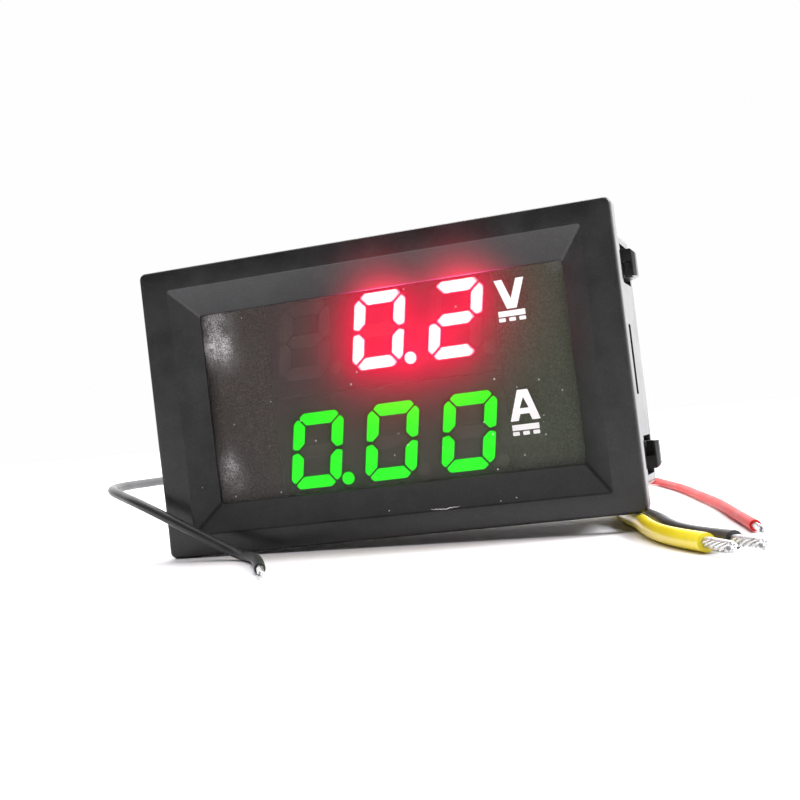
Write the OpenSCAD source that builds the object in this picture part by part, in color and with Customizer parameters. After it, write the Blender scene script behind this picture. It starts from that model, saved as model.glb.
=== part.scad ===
// Panel meter with two rows of seven-segment digits: volts above, amps below.
// It snaps into a rectangular cut-out and is wired through two plugs at the back.
// Frame: the origin is the centre of the cut-out, in the plane where the bezel seats on
// the panel. +X is right as seen from the front, +Y goes back through the panel, +Z is up.

/* [Bezel] */
// Width of the bezel
bezel_w = 48; // [46:0.5:56]
// Height of the bezel
bezel_h = 29; // [28.6:0.2:36]
// Depth of the bezel, from its front to the face that seats on the panel
bezel_t = 2.2; // [2:0.1:4]
// Radius of the bezel's four corners
bezel_corner_r = 0.7; // [0.6:0.1:3]
// Radius of the rounded front edge
bezel_edge_r = 0.5; // [0.2:0.1:0.6]
// Width of the flat rim at the sides
rim_side = 3; // [2:0.1:3.5]
// Width of the flat rim at the top and bottom
rim_top = 2.15; // [1.5:0.05:2.6]
// Width of the slope down to the window at the sides
slope_side = 2.35; // [1:0.05:3]
// Width of the slope down to the window at the top and bottom
slope_top = 2.75; // [1:0.05:3]
// Depth of the slope
slope_d = 1.95; // [0.8:0.05:1.95]

/* [Housing] */
// Overhang of the bezel past the body at each side
seat_side = 1.25; // [0.6:0.05:1.6]
// Overhang of the bezel past the body at the top and bottom
seat_top = 1.5; // [0.6:0.05:1.6]
// Depth of the body behind the panel seat
body_d = 19.1; // [17.8:0.1:30]
// Thickness of the body's walls
wall = 1.2; // [0.8:0.05:1.3]
// Radius of the body's long edges
body_corner_r = 0.8; // [0.2:0.1:1.2]
// Width of the four posts that the board rests on
post_w = 2.2; // [1.4:0.1:2.6]

/* [Snap arms] */
// Distance between the two arms on one side
snap_pitch = 19.6; // [17:0.1:19.8]
// Width of each arm
snap_w = 2.8; // [2:0.1:3.2]
// Distance from the panel seat to the free end of the arms
snap_y = 12.2; // [8:0.1:12.6]
// Length of the arms
snap_length = 5.4; // [4.6:0.1:5.8]
// Reach of the arms out past the body
snap_reach = 1.4; // [0.8:0.05:1.5]
// Width of the slots beside the arms
snap_slot = 0.6; // [0.4:0.05:0.8]

/* [Window] */
// Thickness of the tinted window
window_t = 1; // [0.8:0.1:1.5]
// Overlap of the window behind the bezel on every side
window_lap = 1; // [0.6:0.05:1.1]

/* [Displays] */
// Width of each three-digit display
display_w = 23.5; // [23:0.1:25]
// Gap between the displays and the walls above and below them
display_margin = 0.85; // [0.6:0.05:1.1]
// Depth of each display
display_d = 8.2; // [7:0.1:9]
// Air gap between the window and the displays
display_gap = 0.2; // [0.1:0.05:0.6]
// Gap between the two displays
display_row_gap = 0.1; // [0.05:0.05:0.4]
// Shift of the displays to the right of the centre
display_x = -0.36; // [-0.6:0.02:0.6]
// Distance between digits
digit_pitch = 7.85; // [7.8:0.05:8.2]
// Height of a digit
digit_h = 7.5; // [6.6:0.1:8.2]
// Width of a digit
digit_w = 5.3; // [4.6:0.1:5.4]
// Width of a segment
segment_w = 1.2; // [0.8:0.05:1.3]
// Gap between segments
segment_gap = 0.18; // [0.1:0.02:0.3]
// Lean of the digits in degrees
digit_lean = 9.5; // [0:0.5:10]
// Diameter of a decimal point
point_d = 1.25; // [0.8:0.05:1.4]
// Digits on the volts row, left to right, with -1 for a blank
volts_digits = [-1, 0, 2];
// Digit on the volts row that the decimal point follows
volts_point = 2; // [1, 2, 3]
// Digits on the amps row, left to right, with -1 for a blank
amps_digits = [0, 0, 0];
// Digit on the amps row that the decimal point follows
amps_point = 1; // [1, 2, 3]

/* [Board] */
// Thickness of the circuit board
board_t = 1.6; // [1:0.1:2]
// Width of the board's side tabs
tab_w = 4.6; // [3:0.1:6]
// Length of the openings in the side walls that the tabs reach into
tab_window = 7.1; // [6.4:0.1:8]
// Clearance between the board and the walls
board_clearance = 0.25; // [0.1:0.05:0.4]

/* [Trimmers] */
// Side of a trimmer's square base
trimmer_w = 3.8; // [3.4:0.1:4.2]
// Diameter of a trimmer's rotor
rotor_d = 3.1; // [2.4:0.1:3.2]
// Diameter of the pin that a rotor turns on
rotor_pin_d = 1.2; // [0.8:0.1:1.4]
// Running clearance round that pin
rotor_clearance = 0.04; // [0.02:0.01:0.08]
// Distance from the board's top edge down to the volts trimmer
trimmer_inset = 3.15; // [2.75:0.05:3.55]
// Distance between the two trimmers
trimmer_pitch = 5.2; // [5:0.1:5.6]

/* [Supply plug] */
// Distance between the supply contacts
supply_pitch = 2.5; // [2.5:0.02:2.54]
// Depth of the supply header's wall over the board
supply_header_h = 7; // [6.4:0.1:8]
// Length of the supply plug outside its header
supply_plug_out = 3.4; // [2.6:0.1:5]
// Height of the supply plug over the centre of the board
supply_z = -5.2; // [-6:0.05:-5]
// Distance from the board's side edge to the centre of the supply header
supply_inset = 4.3; // [4:0.05:4.6]

/* [Current plug] */
// Distance between the current contacts
current_pitch = 3.96; // [3.96:0.02:4.1]
// Height of the current header's latching wall over the board
current_header_h = 9.3; // [8.6:0.1:10]
// Length of the current plug
current_plug_l = 11.5; // [10.5:0.1:13]
// Distance from the board's side edge to the centre of the current header
current_inset = 5.7; // [5:0.05:6]

/* [Shunt] */
// Diameter of the shunt wire
shunt_d = 1.3; // [0.8:0.05:1.6]
// Height of the shunt over the board
shunt_h = 5.2; // [3.5:0.1:6.5]

/* [Leads] */
// Diameter of the two supply leads
thin_lead_d = 1; // [0.7:0.05:1.2]
// Diameter of the two current leads
thick_lead_d = 1.5; // [1.2:0.05:1.5]
// Length of the bare tinned end of each lead
bare_tip_l = 4.5; // [2:0.5:8]

/* [Hidden] */

overcut = 0.5;       // how far a cutting tool runs past a face
fit = 0.05;          // gap between pieces that are pressed or glued together
hair = 0.02;         // gap where a moulded piece fills its pocket
round_fn = 32;

// bezel and body
front_y = -bezel_t;
opening_w = bezel_w - 2 * (rim_side + slope_side);
opening_h = bezel_h - 2 * (rim_top + slope_top);
body_w = bezel_w - 2 * seat_side;
body_h = bezel_h - 2 * seat_top;
inside_w = body_w - 2 * wall;
inside_h = body_h - 2 * wall;
window_w = opening_w + 2 * window_lap;
window_h = opening_h + 2 * window_lap;

// displays, from the window back to the board
display_y = window_t + display_gap;
display_h = (inside_h - 2 * display_margin - display_row_gap) / 2;
row_pitch = display_h + display_row_gap;
rows_z = 0.2;                      // height of the line between the two displays
volts_z = rows_z + row_pitch / 2;
amps_z = rows_z - row_pitch / 2;
well_d = 1;                        // depth of the segments' wells in a display
segment_proud = 0.03;
corner_cut = 0.7 * segment_w;      // size of a digit's four cut corners
waist_cut = 0.15 * segment_w;      // cut where an upper and a lower segment meet
point_x = 0.645 * digit_w;
point_z = -0.42 * digit_h;
pin_rows = display_h - 2.7;        // distance between a display's two rows of pins
pin_pitch = 2.54;
pins_per_row = 6;

// board
board_y = display_y + display_d;
board_back = board_y + board_t;
board_w = inside_w - 2 * board_clearance;
board_h = inside_h - 2 * board_clearance;
pin_tail = 1.2;                    // length of a pin past the board
solder_h = 0.7;
display_pin_w = 0.5;
display_hole_d = 0.82;
supply_hole_d = 1.1;
current_hole_d = 1.8;
shunt_hole_d = shunt_d + 0.1;

// trimmers
trimmer_x = -(board_w / 2 - supply_inset);
volts_trimmer_z = board_h / 2 - trimmer_inset;
amps_trimmer_z = volts_trimmer_z - trimmer_pitch;
trimmer_t = 0.9;
rotor_t = 0.7;
rotor_lift = 0.05;

// supply header and plug: [across, up]
supply_x = -(board_w / 2 - supply_inset);
supply_header = [5.75, 2 * supply_pitch + 2.4];
supply_wall = 0.7;
supply_floor = 1.5;
supply_pin_w = 0.64;
supply_pin_h = 5.6;                // height of the pins over the board
supply_socket = [1.8, 0.9, 4.6];   // a contact's socket: outside, inside, length
supply_barrel_d = 1.3;
supply_plug = [supply_header[0] - 2 * supply_wall - 0.2, supply_header[1] - 2 * supply_wall - 0.2];
supply_plug_y = board_back + supply_floor + 0.2;
supply_plug_back = board_back + supply_header_h + supply_plug_out;

// current header and plug: [across, up]
current_x = board_w / 2 - current_inset;
current_z = 0;
current_base = [7.6, 2 * current_pitch + 3.9];
current_base_t = 2.6;
current_wall_t = 1.2;
current_wall_inset = 0.8;          // from the base's ends to the latching wall's
current_pin_w = 1.14;
current_pin_h = 9.4;               // height of the pins over the board
current_socket = [2.5, 1.5, 7.4];  // a contact's socket: outside, inside, length
current_barrel_d = 1.9;
current_cavity_w = 2.7;
spring_opening = [2.6, 2, 1.5];    // opening over a contact's spring: across, deep, high
spring_y = 5;                      // from the plug's front to the middle of that opening
latch_y = 6;                       // height of the latch over the board
latch_window = [2.4, 3.6];         // opening for the latch: deep, high
latch_slack = [0.8, 0.4];          // room round the latch in it
grip_pitch = 1;
grip_inset = 1;                    // from the plug's ends to its grip ribs
current_plug = [current_base[0] - current_wall_t - 0.6, current_base[1] - 0.2];
current_plug_y = board_back + current_base_t + 0.1;
current_plug_back = current_plug_y + current_plug_l;
current_wall_x = -current_base[0] / 2;   // outer face of the latching wall, from the pins
current_plug_x = current_wall_x + current_wall_t + 0.1 + current_plug[0] / 2;

// shunt: one leg stands clear of the displays and the other near the board's edge
shunt_gap = 0.35;
shunt_edge = 1.1;
shunt_low_x = display_x + display_w / 2 + shunt_gap + shunt_d / 2;
shunt_high_x = board_w / 2 - shunt_edge;
shunt_span = shunt_high_x - shunt_low_x;
shunt_x = (shunt_low_x + shunt_high_x) / 2;
shunt_z = board_h / 2 - 2.8;
shunt_bend = 1.8;

// small parts on the back of the board: [across, up]
controller_at = [-3.4, volts_z];
controller_size = [6.6, 1.1];      // across, deep
controller_span = pin_rows - 1.8;  // over its leads, between the rows of display pins
amplifier_at = [-5.2, amps_z];
amplifier_size = [4.9, 1.4];
amplifier_span = pin_rows - 2.2;
chip_lead_l = 1;                   // how far a chip's leads stand out on each side
regulator_at = [1.8, amps_z + 0.2];
diode_at = [5, volts_z];
diode_size = [4.3, 2.6, 2.1];      // across, up, deep
diode_lead = [1.5, 1.5];
diode_lead_out = 0.5;              // how far a lead stands out past the body
part_pitch = 2.3;                  // between neighbouring small parts in a column
column_x = amplifier_at[0] - amplifier_size[0] / 2 - 2.95;
column_z = -(board_h / 2 - 2.75);
sense_x = diode_at[0] + 0.9;
sense_pitch = pin_rows / 2 - 1.9;
resistors_at = [
    for (k = [0:5]) [column_x, column_z + part_pitch * k],
    for (k = [-1:1]) [sense_x, amps_z + sense_pitch * k]
];
capacitors_at = [
    for (k = [0, 1]) [column_x, column_z + part_pitch * (k + 6.1)],
    [sense_x + 3.3, amps_z - 4.2]
];
resistor = [2, 1.25, 0.5];
capacitor = [2, 1.4, 1.1];
end_cap = 0.4;

// The leads lie on a bench that the meter rests on: its lower left corner touches the bench
// and the two current leads pass under its lower right corner.
lead_gap = 0.1;                     // from a contact's barrel to the sheath
supply_start = supply_plug_back + lead_gap;
current_start = current_plug_back + lead_gap;
red_supply_route = [
    [supply_x, supply_start, supply_z + supply_pitch / 2],
    [-16.6, 26, -4.2], [-15, 33, -5.6], [-12, 41, -8.2], [-8.5, 49, -11.4],
    [-5, 57, -13.8], [-1.2, 64.5, -14.7], [3.5, 70, -14.9], [9, 72.3, -15.1], [14, 70.8, -15.25],
    [17.2, 66.3, -15.35], [19.2, 59.9, -15.45], [22.4, 48, -15.55], [26, 31.4, -15.65],
    [29.05, 16.6, -15.75], [31.05, 4.9, -15.85], [32.3, -2.4, -15.9], [33.3, -8.5, -15.9]
];
black_supply_route = [
    [supply_x, supply_start, supply_z - supply_pitch / 2],
    [-17.2, 27, -6.7], [-18.2, 35, -7], [-20.8, 42.5, -7.2],
    [-25, 46.8, -7.3], [-30, 46.8, -7.2], [-33.8, 43, -7], [-35.6, 36.5, -6.9],
    [-36.3, 28, -6.8], [-36.2, 19, -6.8], [-35.1, 11, -6.8], [-33.5, 5.2, -6.9],
    [-31.15, 0.8, -7.15], [-28.2, -2.3, -7.8], [-25.6, -4.2, -8.6], [-22.5, -5.2, -10.05],
    [-19.7, -5.7, -11.55], [-16.5, -6.2, -13.25], [-14.1, -7.2, -14.25], [-11.4, -10.4, -14.4],
    [-9, -14.8, -14.5], [-6.6, -20, -14.6]
];
yellow_current_route = [
    [current_x, current_start, current_z - current_pitch],
    [15.4, 30, -4.4], [14, 37, -7], [12.3, 44, -11], [10.5, 50, -14],
    [9.6, 55, -14.8], [10.3, 59, -14.9], [12.6, 60.6, -14.95], [14.6, 58.8, -15],
    [15.3, 54, -15.05], [15.9, 46, -15.1], [16.6, 36, -15.1], [17.6, 26, -15.15],
    [19, 16, -15.2], [20.6, 7.8, -15.25], [22.9, -0.9, -15.3], [25.2, -10.3, -15.4],
    [27.4, -16.5, -15.45], [30.2, -22, -15.55]
];
black_current_route = [
    [current_x, current_start, current_z + current_pitch],
    [15.4, 30, 3.6], [14.2, 37, 1], [12, 44, -3.5], [9.2, 50.5, -9],
    [6.5, 55.5, -13.2], [5, 59.6, -14.6], [6, 63.8, -14.75], [9.5, 65.8, -14.85],
    [13.2, 64.4, -15], [15.7, 60.6, -15.05], [16.9, 54.2, -15.1], [17.5, 46, -15.1],
    [18.2, 36, -15.15], [19.2, 26, -15.2], [20.6, 16.2, -15.25], [22.2, 8.1, -15.3],
    [24.5, -0.6, -15.35], [26.8, -10, -15.45], [29, -16, -15.5], [32.2, -21.6, -15.6]
];
lead_sides = 8;

// Which of the seven segments a digit lights: top, upper right, lower right, bottom,
// lower left, upper left, middle.
LIT = [
    [1, 1, 1, 1, 1, 1, 0], [0, 1, 1, 0, 0, 0, 0], [1, 1, 0, 1, 1, 0, 1], [1, 1, 1, 1, 0, 0, 1],
    [0, 1, 1, 0, 0, 1, 1], [1, 0, 1, 1, 0, 1, 1], [1, 0, 1, 1, 1, 1, 1], [1, 1, 1, 0, 0, 0, 0],
    [1, 1, 1, 1, 1, 1, 1], [1, 1, 1, 1, 0, 1, 1]
];

function unit(v) = v / norm(v);

function rounded_rectangle(w, h, r, steps = 6) = [
    for (q = [0:3], k = [0:steps])
        let (a = 90 * q + 90 * k / steps)
        let (sx = (q == 0 || q == 3) ? 1 : -1, sz = q < 2 ? 1 : -1)
        [sx * (w / 2 - r) + r * cos(a), sz * (h / 2 - r) + r * sin(a)]
];

// A flat shape, drawn across and up, made solid from depth y0 back to depth y1.
module slab(y0, y1)
    translate([0, y1, 0]) rotate([90, 0, 0]) linear_extrude(y1 - y0) children();

module at(place)
    translate([place[0], 0, place[1]]) children();

module at_flat(place)
    translate([place[0], place[1]]) children();

// ---- bezel, body and window ----

// A corner of the bezel, with its rounded front edge. Its axis runs back from the front.
module bezel_corner()
    rotate([-90, 0, 0]) rotate_extrude($fn = round_fn) polygon(concat(
        [[0, 0]],
        [for (a = [0:15:90]) [
            bezel_corner_r - bezel_edge_r * (1 - sin(a)),
            bezel_edge_r * (1 - cos(a))
        ]],
        [[bezel_corner_r, bezel_t], [0, bezel_t]]
    ));

module bezel_block()
    translate([0, front_y, 0])
        hull()
            for (sx = [-1, 1], sz = [-1, 1])
                translate([sx * (bezel_w / 2 - bezel_corner_r), 0, sz * (bezel_h / 2 - bezel_corner_r)])
                    bezel_corner();

// The sloped frame in front of the window, and the straight land at its foot, which is a
// hair narrower.
module bezel_opening() {
    outer = [opening_w + 2 * slope_side, opening_h + 2 * slope_top];
    translate([0, front_y, 0]) rotate([-90, 0, 0])
        linear_extrude(slope_d, scale = [opening_w / outer[0], opening_h / outer[1]])
            square(outer, center = true);
    slab(front_y - overcut, front_y) square(outer, center = true);
    slab(front_y + slope_d - 0.01, overcut)
        square([opening_w - 2 * hair, opening_h - 2 * hair], center = true);
}

// The cut that frees a snap arm from the side wall: a slot on each side and a gap at its end.
module snap_slots() {
    cut_w = snap_w + 2 * snap_slot;
    root_y = snap_y + snap_length;
    translate([body_w / 2 - wall - overcut, 0, 0]) {
        for (s = [-1, 1])
            translate([0, snap_y - snap_slot, s * (cut_w - snap_slot) / 2 - snap_slot / 2])
                cube([wall + 2 * overcut, root_y - snap_y + snap_slot, snap_slot]);
        translate([0, snap_y - snap_slot, -cut_w / 2])
            cube([wall + 2 * overcut, snap_slot, cut_w]);
    }
}

// The hook on a snap arm: full height at its free end, ramping down to the wall at its root.
// Its inner half is hollowed from the front, which leaves a thin blade outside.
module snap_hook(inward) {
    root_y = snap_y + snap_length;
    outside = body_w / 2;
    blade = 0.42 * snap_reach;
    difference() {
        translate([0, 0, -snap_w / 2]) linear_extrude(snap_w) polygon([
            [outside - 0.4 * wall, snap_y],
            [outside + 0.72 * snap_reach, snap_y],
            [outside + 0.94 * snap_reach, snap_y + 0.25],
            [outside + snap_reach, snap_y + 0.8],
            [outside + 0.93 * snap_reach, snap_y + 1.7],
            [outside + 0.6 * snap_reach, snap_y + 0.62 * snap_length],
            [outside, root_y - 0.1],
            [outside - 0.4 * wall, root_y - 0.1]
        ]);
        translate([outside, snap_y - overcut, inward > 0 ? -0.05 * snap_w : -snap_w])
            cube([snap_reach - blade, overcut + 1.5, 1.05 * snap_w]);
        translate([outside + snap_reach, snap_y - overcut, -inward * snap_w / 2])
            rotate([0, 45, 0]) cube([0.7, 2 * snap_length, 0.7], center = true);
    }
}

module tab_opening()
    translate([body_w / 2 - wall - overcut, board_y - 0.4, -tab_window / 2])
        cube([wall + 2 * overcut, board_t + 1.9, tab_window]);

module housing() color([0.09, 0.09, 0.1]) {
    difference() {
        union() {
            bezel_block();
            slab(-0.01, body_d) polygon(rounded_rectangle(body_w, body_h, body_corner_r));
        }
        bezel_opening();
        // pocket that holds the window, then the open inside
        slab(0, overcut + window_t) square([window_w + 2 * fit, window_h + 2 * fit], center = true);
        slab(window_t, body_d + overcut) square([inside_w, inside_h], center = true);
        for (side = [0, 1]) mirror([side, 0, 0]) {
            for (s = [-1, 1]) translate([0, 0, s * snap_pitch / 2]) snap_slots();
            tab_opening();
        }
        // chamfer round the back edge that leads the body into the cut-out
        slab(body_d - 0.4, body_d + overcut) difference() {
            square([bezel_w, bezel_h], center = true);
            square([body_w - 0.5, body_h - 0.5], center = true);
        }
    }
    for (side = [0, 1]) mirror([side, 0, 0])
        for (s = [-1, 1]) translate([0, 0, s * snap_pitch / 2]) snap_hook(-s);
    // posts that carry the board
    for (sx = [-1, 1], sz = [-1, 1])
        translate([
            sx * (inside_w / 2 - post_w / 2 + 0.1), (window_t + board_y) / 2,
            sz * (inside_h / 2 - post_w / 2 + 0.1)
        ])
            cube([post_w + 0.2, board_y - window_t - 0.02, post_w + 0.2], center = true);
}

module display_window() color([0.16, 0.14, 0.13, 0.5])
    slab(hair, window_t) polygon(rounded_rectangle(window_w, window_h, 0.5, 3));

// ---- seven-segment displays ----

// Corner points of one segment of an upright digit of size w by h with strokes t wide.
function segment(i, w, h, t, gap) =
    let (x = w / 2, z = h / 2, g = 0.71 * gap, c = corner_cut)
    i == 0 ? [
        [-x + g + c, z], [x - g - c, z], [x - g - c / 2, z - c / 2],
        [x - g - t, z - t], [-x + g + t, z - t], [-x + g + c / 2, z - c / 2]
    ]
    : i == 1 ? [
        [x, z - g - c], [x - c / 2, z - g - c / 2], [x - t, z - g - t],
        [x - t, t / 2 + g], [x - t / 2, g], [x, 0.8 * g + waist_cut]
    ]
    : i == 2 ? [for (p = segment(1, w, h, t, gap)) [p[0], -p[1]]]
    : i == 3 ? [for (p = segment(0, w, h, t, gap)) [p[0], -p[1]]]
    : i == 4 ? [for (p = segment(1, w, h, t, gap)) [-p[0], -p[1]]]
    : i == 5 ? [for (p = segment(1, w, h, t, gap)) [-p[0], p[1]]]
    : [
        [-x + t / 2 + g, 0], [-x + t + g, t / 2], [x - t - g, t / 2],
        [x - t / 2 - g, 0], [x - t - g, -t / 2], [-x + t + g, -t / 2]
    ];

function leaned(points) = [for (p = points) [p[0] + p[1] * tan(digit_lean), p[1]]];

module segment_shape(i, grow)
    polygon(leaned(segment(
        i, digit_w + 2 * grow, digit_h + 2 * grow, segment_w + 2 * grow, segment_gap
    )));

module point_shape(grow)
    translate(leaned([[point_x, point_z]])[0]) circle(d = point_d + 2 * grow, $fn = 24);

module digit_place(k, row_z)
    translate([display_x + (k - 1) * digit_pitch, row_z]) children();

function is_lit(digits, k, i) = digits[k] >= 0 && LIT[max(digits[k], 0)][i] == 1;

module segments(digits, point, row_z, lit)
    slab(display_y - segment_proud, display_y + well_d)
        for (k = [0:2]) digit_place(k, row_z) {
            for (i = [0:6])
                if (is_lit(digits, k, i) == lit) segment_shape(i, 0);
            if ((k + 1 == point) == lit) point_shape(0);
        }

module display_case(row_z)
    difference() {
        slab(display_y, display_y + display_d)
            translate([display_x, row_z]) square([display_w, display_h], center = true);
        slab(display_y - overcut, display_y + well_d + hair)
            for (k = [0:2]) digit_place(k, row_z) {
                for (i = [0:6]) segment_shape(i, hair);
                point_shape(hair);
            }
    }

function display_pins_at(row_z) = [
    for (k = [0:pins_per_row - 1], s = [-1, 1])
        [display_x + (k - (pins_per_row - 1) / 2) * pin_pitch, row_z + s * pin_rows / 2]
];

// The fillet of solder round a pin in a hole of diameter hole_d.
module solder_cone(hole_d)
    rotate([-90, 0, 0]) cylinder(h = solder_h, d1 = 1.7 * hole_d, d2 = 0.92 * hole_d, $fn = 16);

module display_pins(row_z)
    for (p = display_pins_at(row_z)) at(p) {
        slab(board_y, board_back + pin_tail) square(display_pin_w, center = true);
        translate([0, board_back, 0]) solder_cone(display_hole_d);
    }

module volts_display_case() color([0.13, 0.12, 0.12]) display_case(volts_z);
module volts_segments_lit() color([1, 0.25, 0.25]) segments(volts_digits, volts_point, volts_z, true);
module volts_segments_dark() color([0.22, 0.17, 0.17]) segments(volts_digits, volts_point, volts_z, false);
module volts_display_pins() color([0.8, 0.8, 0.82]) display_pins(volts_z);

module amps_display_case() color([0.13, 0.12, 0.12]) display_case(amps_z);
module amps_segments_lit() color([0.1, 1, 0.15]) segments(amps_digits, amps_point, amps_z, true);
module amps_segments_dark() color([0.2, 0.2, 0.18]) segments(amps_digits, amps_point, amps_z, false);
module amps_display_pins() color([0.8, 0.8, 0.82]) display_pins(amps_z);

// ---- board and the parts soldered to it ----

supply_pins_at = [for (s = [-1, 1]) [supply_x, supply_z + s * supply_pitch / 2]];
current_pins_at = [for (s = [-1, 0, 1]) [current_x, current_z + s * current_pitch]];
shunt_legs_at = [for (s = [-1, 1]) [shunt_x + s * shunt_span / 2, shunt_z]];

module main_board() color([0.1, 0.42, 0.2])
    slab(board_y, board_back) difference() {
        union() {
            square([board_w, board_h], center = true);
            // tabs that snap into the openings in the side walls
            square([body_w - 0.3, tab_w], center = true);
        }
        for (p = concat(display_pins_at(volts_z), display_pins_at(amps_z)))
            at_flat(p) circle(d = display_hole_d, $fn = 13);
        for (p = supply_pins_at) at_flat(p) circle(d = supply_hole_d, $fn = 20);
        for (p = current_pins_at) at_flat(p) circle(d = current_hole_d, $fn = 20);
        for (p = shunt_legs_at) at_flat(p) circle(d = shunt_hole_d, $fn = 20);
    }

// A chip's body, its four long edges bevelled as moulded.
module chip_body(w, h, t)
    translate([0, board_back + 0.1, 0]) rotate([-90, 0, 0]) {
        linear_extrude(t / 2) square([w, h], center = true);
        translate([0, 0, t / 2])
            linear_extrude(t / 2 - 0.1, scale = [(w - 0.3) / w, (h - 0.3) / h])
                square([w, h], center = true);
    }

// Two rows of gull-wing leads, span over their ends.
module gull_leads(count, pitch, span, t, lead_w = 0.42) {
    h = span - 2 * chip_lead_l;
    for (k = [0:count - 1], s = [0, 1]) mirror([0, 0, s])
        translate([(k - (count - 1) / 2) * pitch - lead_w / 2, board_back, 0])
            rotate([90, 0, 90]) linear_extrude(lead_w) polygon([
                [0.45 * t + 0.1, h / 2], [0.45 * t + 0.25, h / 2],
                [0.45 * t + 0.25, h / 2 + 0.35], [0.15, span / 2 - 0.5], [0.15, span / 2],
                [0.01, span / 2], [0.01, span / 2 - 0.6], [0.45 * t + 0.1, h / 2 + 0.25]
            ]);
}

module controller_chip() color([0.1, 0.1, 0.11]) at(controller_at)
    chip_body(controller_size[0], controller_span - 2 * chip_lead_l, controller_size[1]);
module controller_leads() color([0.78, 0.78, 0.8]) at(controller_at)
    gull_leads(10, 0.65, controller_span, controller_size[1], 0.28);
module amplifier_chip() color([0.1, 0.1, 0.11]) at(amplifier_at)
    chip_body(amplifier_size[0], amplifier_span - 2 * chip_lead_l, amplifier_size[1]);
module amplifier_leads() color([0.78, 0.78, 0.8]) at(amplifier_at)
    gull_leads(4, 1.27, amplifier_span, amplifier_size[1]);

module regulator_chip() color([0.1, 0.1, 0.11]) at(regulator_at) chip_body(4.5, 2.5, 1.5);
module regulator_leads() color([0.78, 0.78, 0.8]) at(regulator_at)
    slab(board_back + 0.01, board_back + 0.09) {
        translate([0, 0.5]) square([1.8, 3.6], center = true);
        for (k = [-1, 0, 1]) translate([1.5 * k, -1.4]) square([0.45, 1.5], center = true);
    }

module protection_diode() color([0.12, 0.12, 0.13]) at(diode_at)
    chip_body(diode_size[0], diode_size[1], diode_size[2]);
module diode_leads() color([0.78, 0.78, 0.8]) at(diode_at)
    slab(board_back + 0.01, board_back + 0.09)
        for (s = [-1, 1])
            translate([s * (diode_size[0] / 2 + diode_lead_out - diode_lead[0] / 2), 0])
                square(diode_lead, center = true);

// A chip resistor or capacitor lies across the board between its two end caps.
module chip_middles(places, size)
    for (p = places) at(p) slab(board_back + 0.02, board_back + size[2])
        square([size[0] - 2 * end_cap, size[1]], center = true);
module chip_ends(places, size)
    for (p = places, s = [-1, 1]) at(p) slab(board_back + 0.01, board_back + size[2] + 0.02)
        translate([s * (size[0] - end_cap) / 2, 0]) square([end_cap, size[1]], center = true);

module chip_resistors() color([0.12, 0.12, 0.13]) chip_middles(resistors_at, resistor);
module chip_capacitors() color([0.72, 0.55, 0.38]) chip_middles(capacitors_at, capacitor);
module chip_end_caps() color([0.8, 0.8, 0.82]) {
    chip_ends(resistors_at, resistor);
    chip_ends(capacitors_at, capacitor);
}

// A hoop of resistance wire that stands over the board on its two legs.
module current_shunt() color([0.72, 0.66, 0.6]) {
    leg_top = board_back + shunt_h - shunt_bend;
    for (p = shunt_legs_at) at(p) {
        translate([0, board_y - 0.9, 0]) rotate([-90, 0, 0])
            cylinder(d = shunt_d, h = leg_top - board_y + 0.9, $fn = 20);
        translate([0, board_back, 0]) solder_cone(shunt_hole_d);
    }
    for (s = [0, 1]) translate([shunt_x, 0, shunt_z]) mirror([s, 0, 0])
        translate([shunt_span / 2 - shunt_bend, leg_top, 0])
            rotate_extrude(angle = 90, $fn = 28) translate([shunt_bend, 0])
                circle(d = shunt_d, $fn = 20);
    translate([shunt_x - shunt_span / 2 + shunt_bend, leg_top + shunt_bend, shunt_z])
        rotate([0, 90, 0]) cylinder(d = shunt_d, h = shunt_span - 2 * shunt_bend, $fn = 20);
}

// ---- trimmers ----

module trimmer_base(z) at([trimmer_x, z])
    slab(board_back + 0.01, board_back + trimmer_t) difference() {
        union() {
            square(trimmer_w, center = true);
            for (x = [-0.3, 0.3]) translate([x * trimmer_w, -trimmer_w / 2])
                square([0.7, 0.8], center = true);
            translate([0, trimmer_w / 2]) square([1.3, 0.8], center = true);
        }
        circle(d = rotor_pin_d + 2 * rotor_clearance, $fn = 24);
    }

module trimmer_rotor(z) at([trimmer_x, z]) difference() {
    union() {
        translate([0, board_back + trimmer_t + rotor_lift, 0]) rotate([-90, 0, 0])
            cylinder(d = rotor_d, h = rotor_t, $fn = 30);
        translate([0, board_back + 0.1, 0]) rotate([-90, 0, 0])
            cylinder(d = rotor_pin_d, h = trimmer_t, $fn = 24);
    }
    // crossed slots for a screwdriver, and a dimple that shows the setting
    slab(board_back + trimmer_t + rotor_lift + 0.35 * rotor_t, board_back + trimmer_t + 2 * rotor_t) {
        square([0.64 * rotor_d, 0.13 * rotor_d], center = true);
        square([0.13 * rotor_d, 0.64 * rotor_d], center = true);
        translate([0, 0.41 * rotor_d]) circle(d = 0.1 * rotor_d, $fn = 16);
    }
}

module volts_trimmer_base() color([0.9, 0.9, 0.88]) trimmer_base(volts_trimmer_z);
module volts_trimmer_rotor() color([0.83, 0.68, 0.35]) trimmer_rotor(volts_trimmer_z);
module amps_trimmer_base() color([0.9, 0.9, 0.88]) trimmer_base(amps_trimmer_z);
module amps_trimmer_rotor() color([0.83, 0.68, 0.35]) trimmer_rotor(amps_trimmer_z);

// ---- supply header and plug ----

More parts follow.
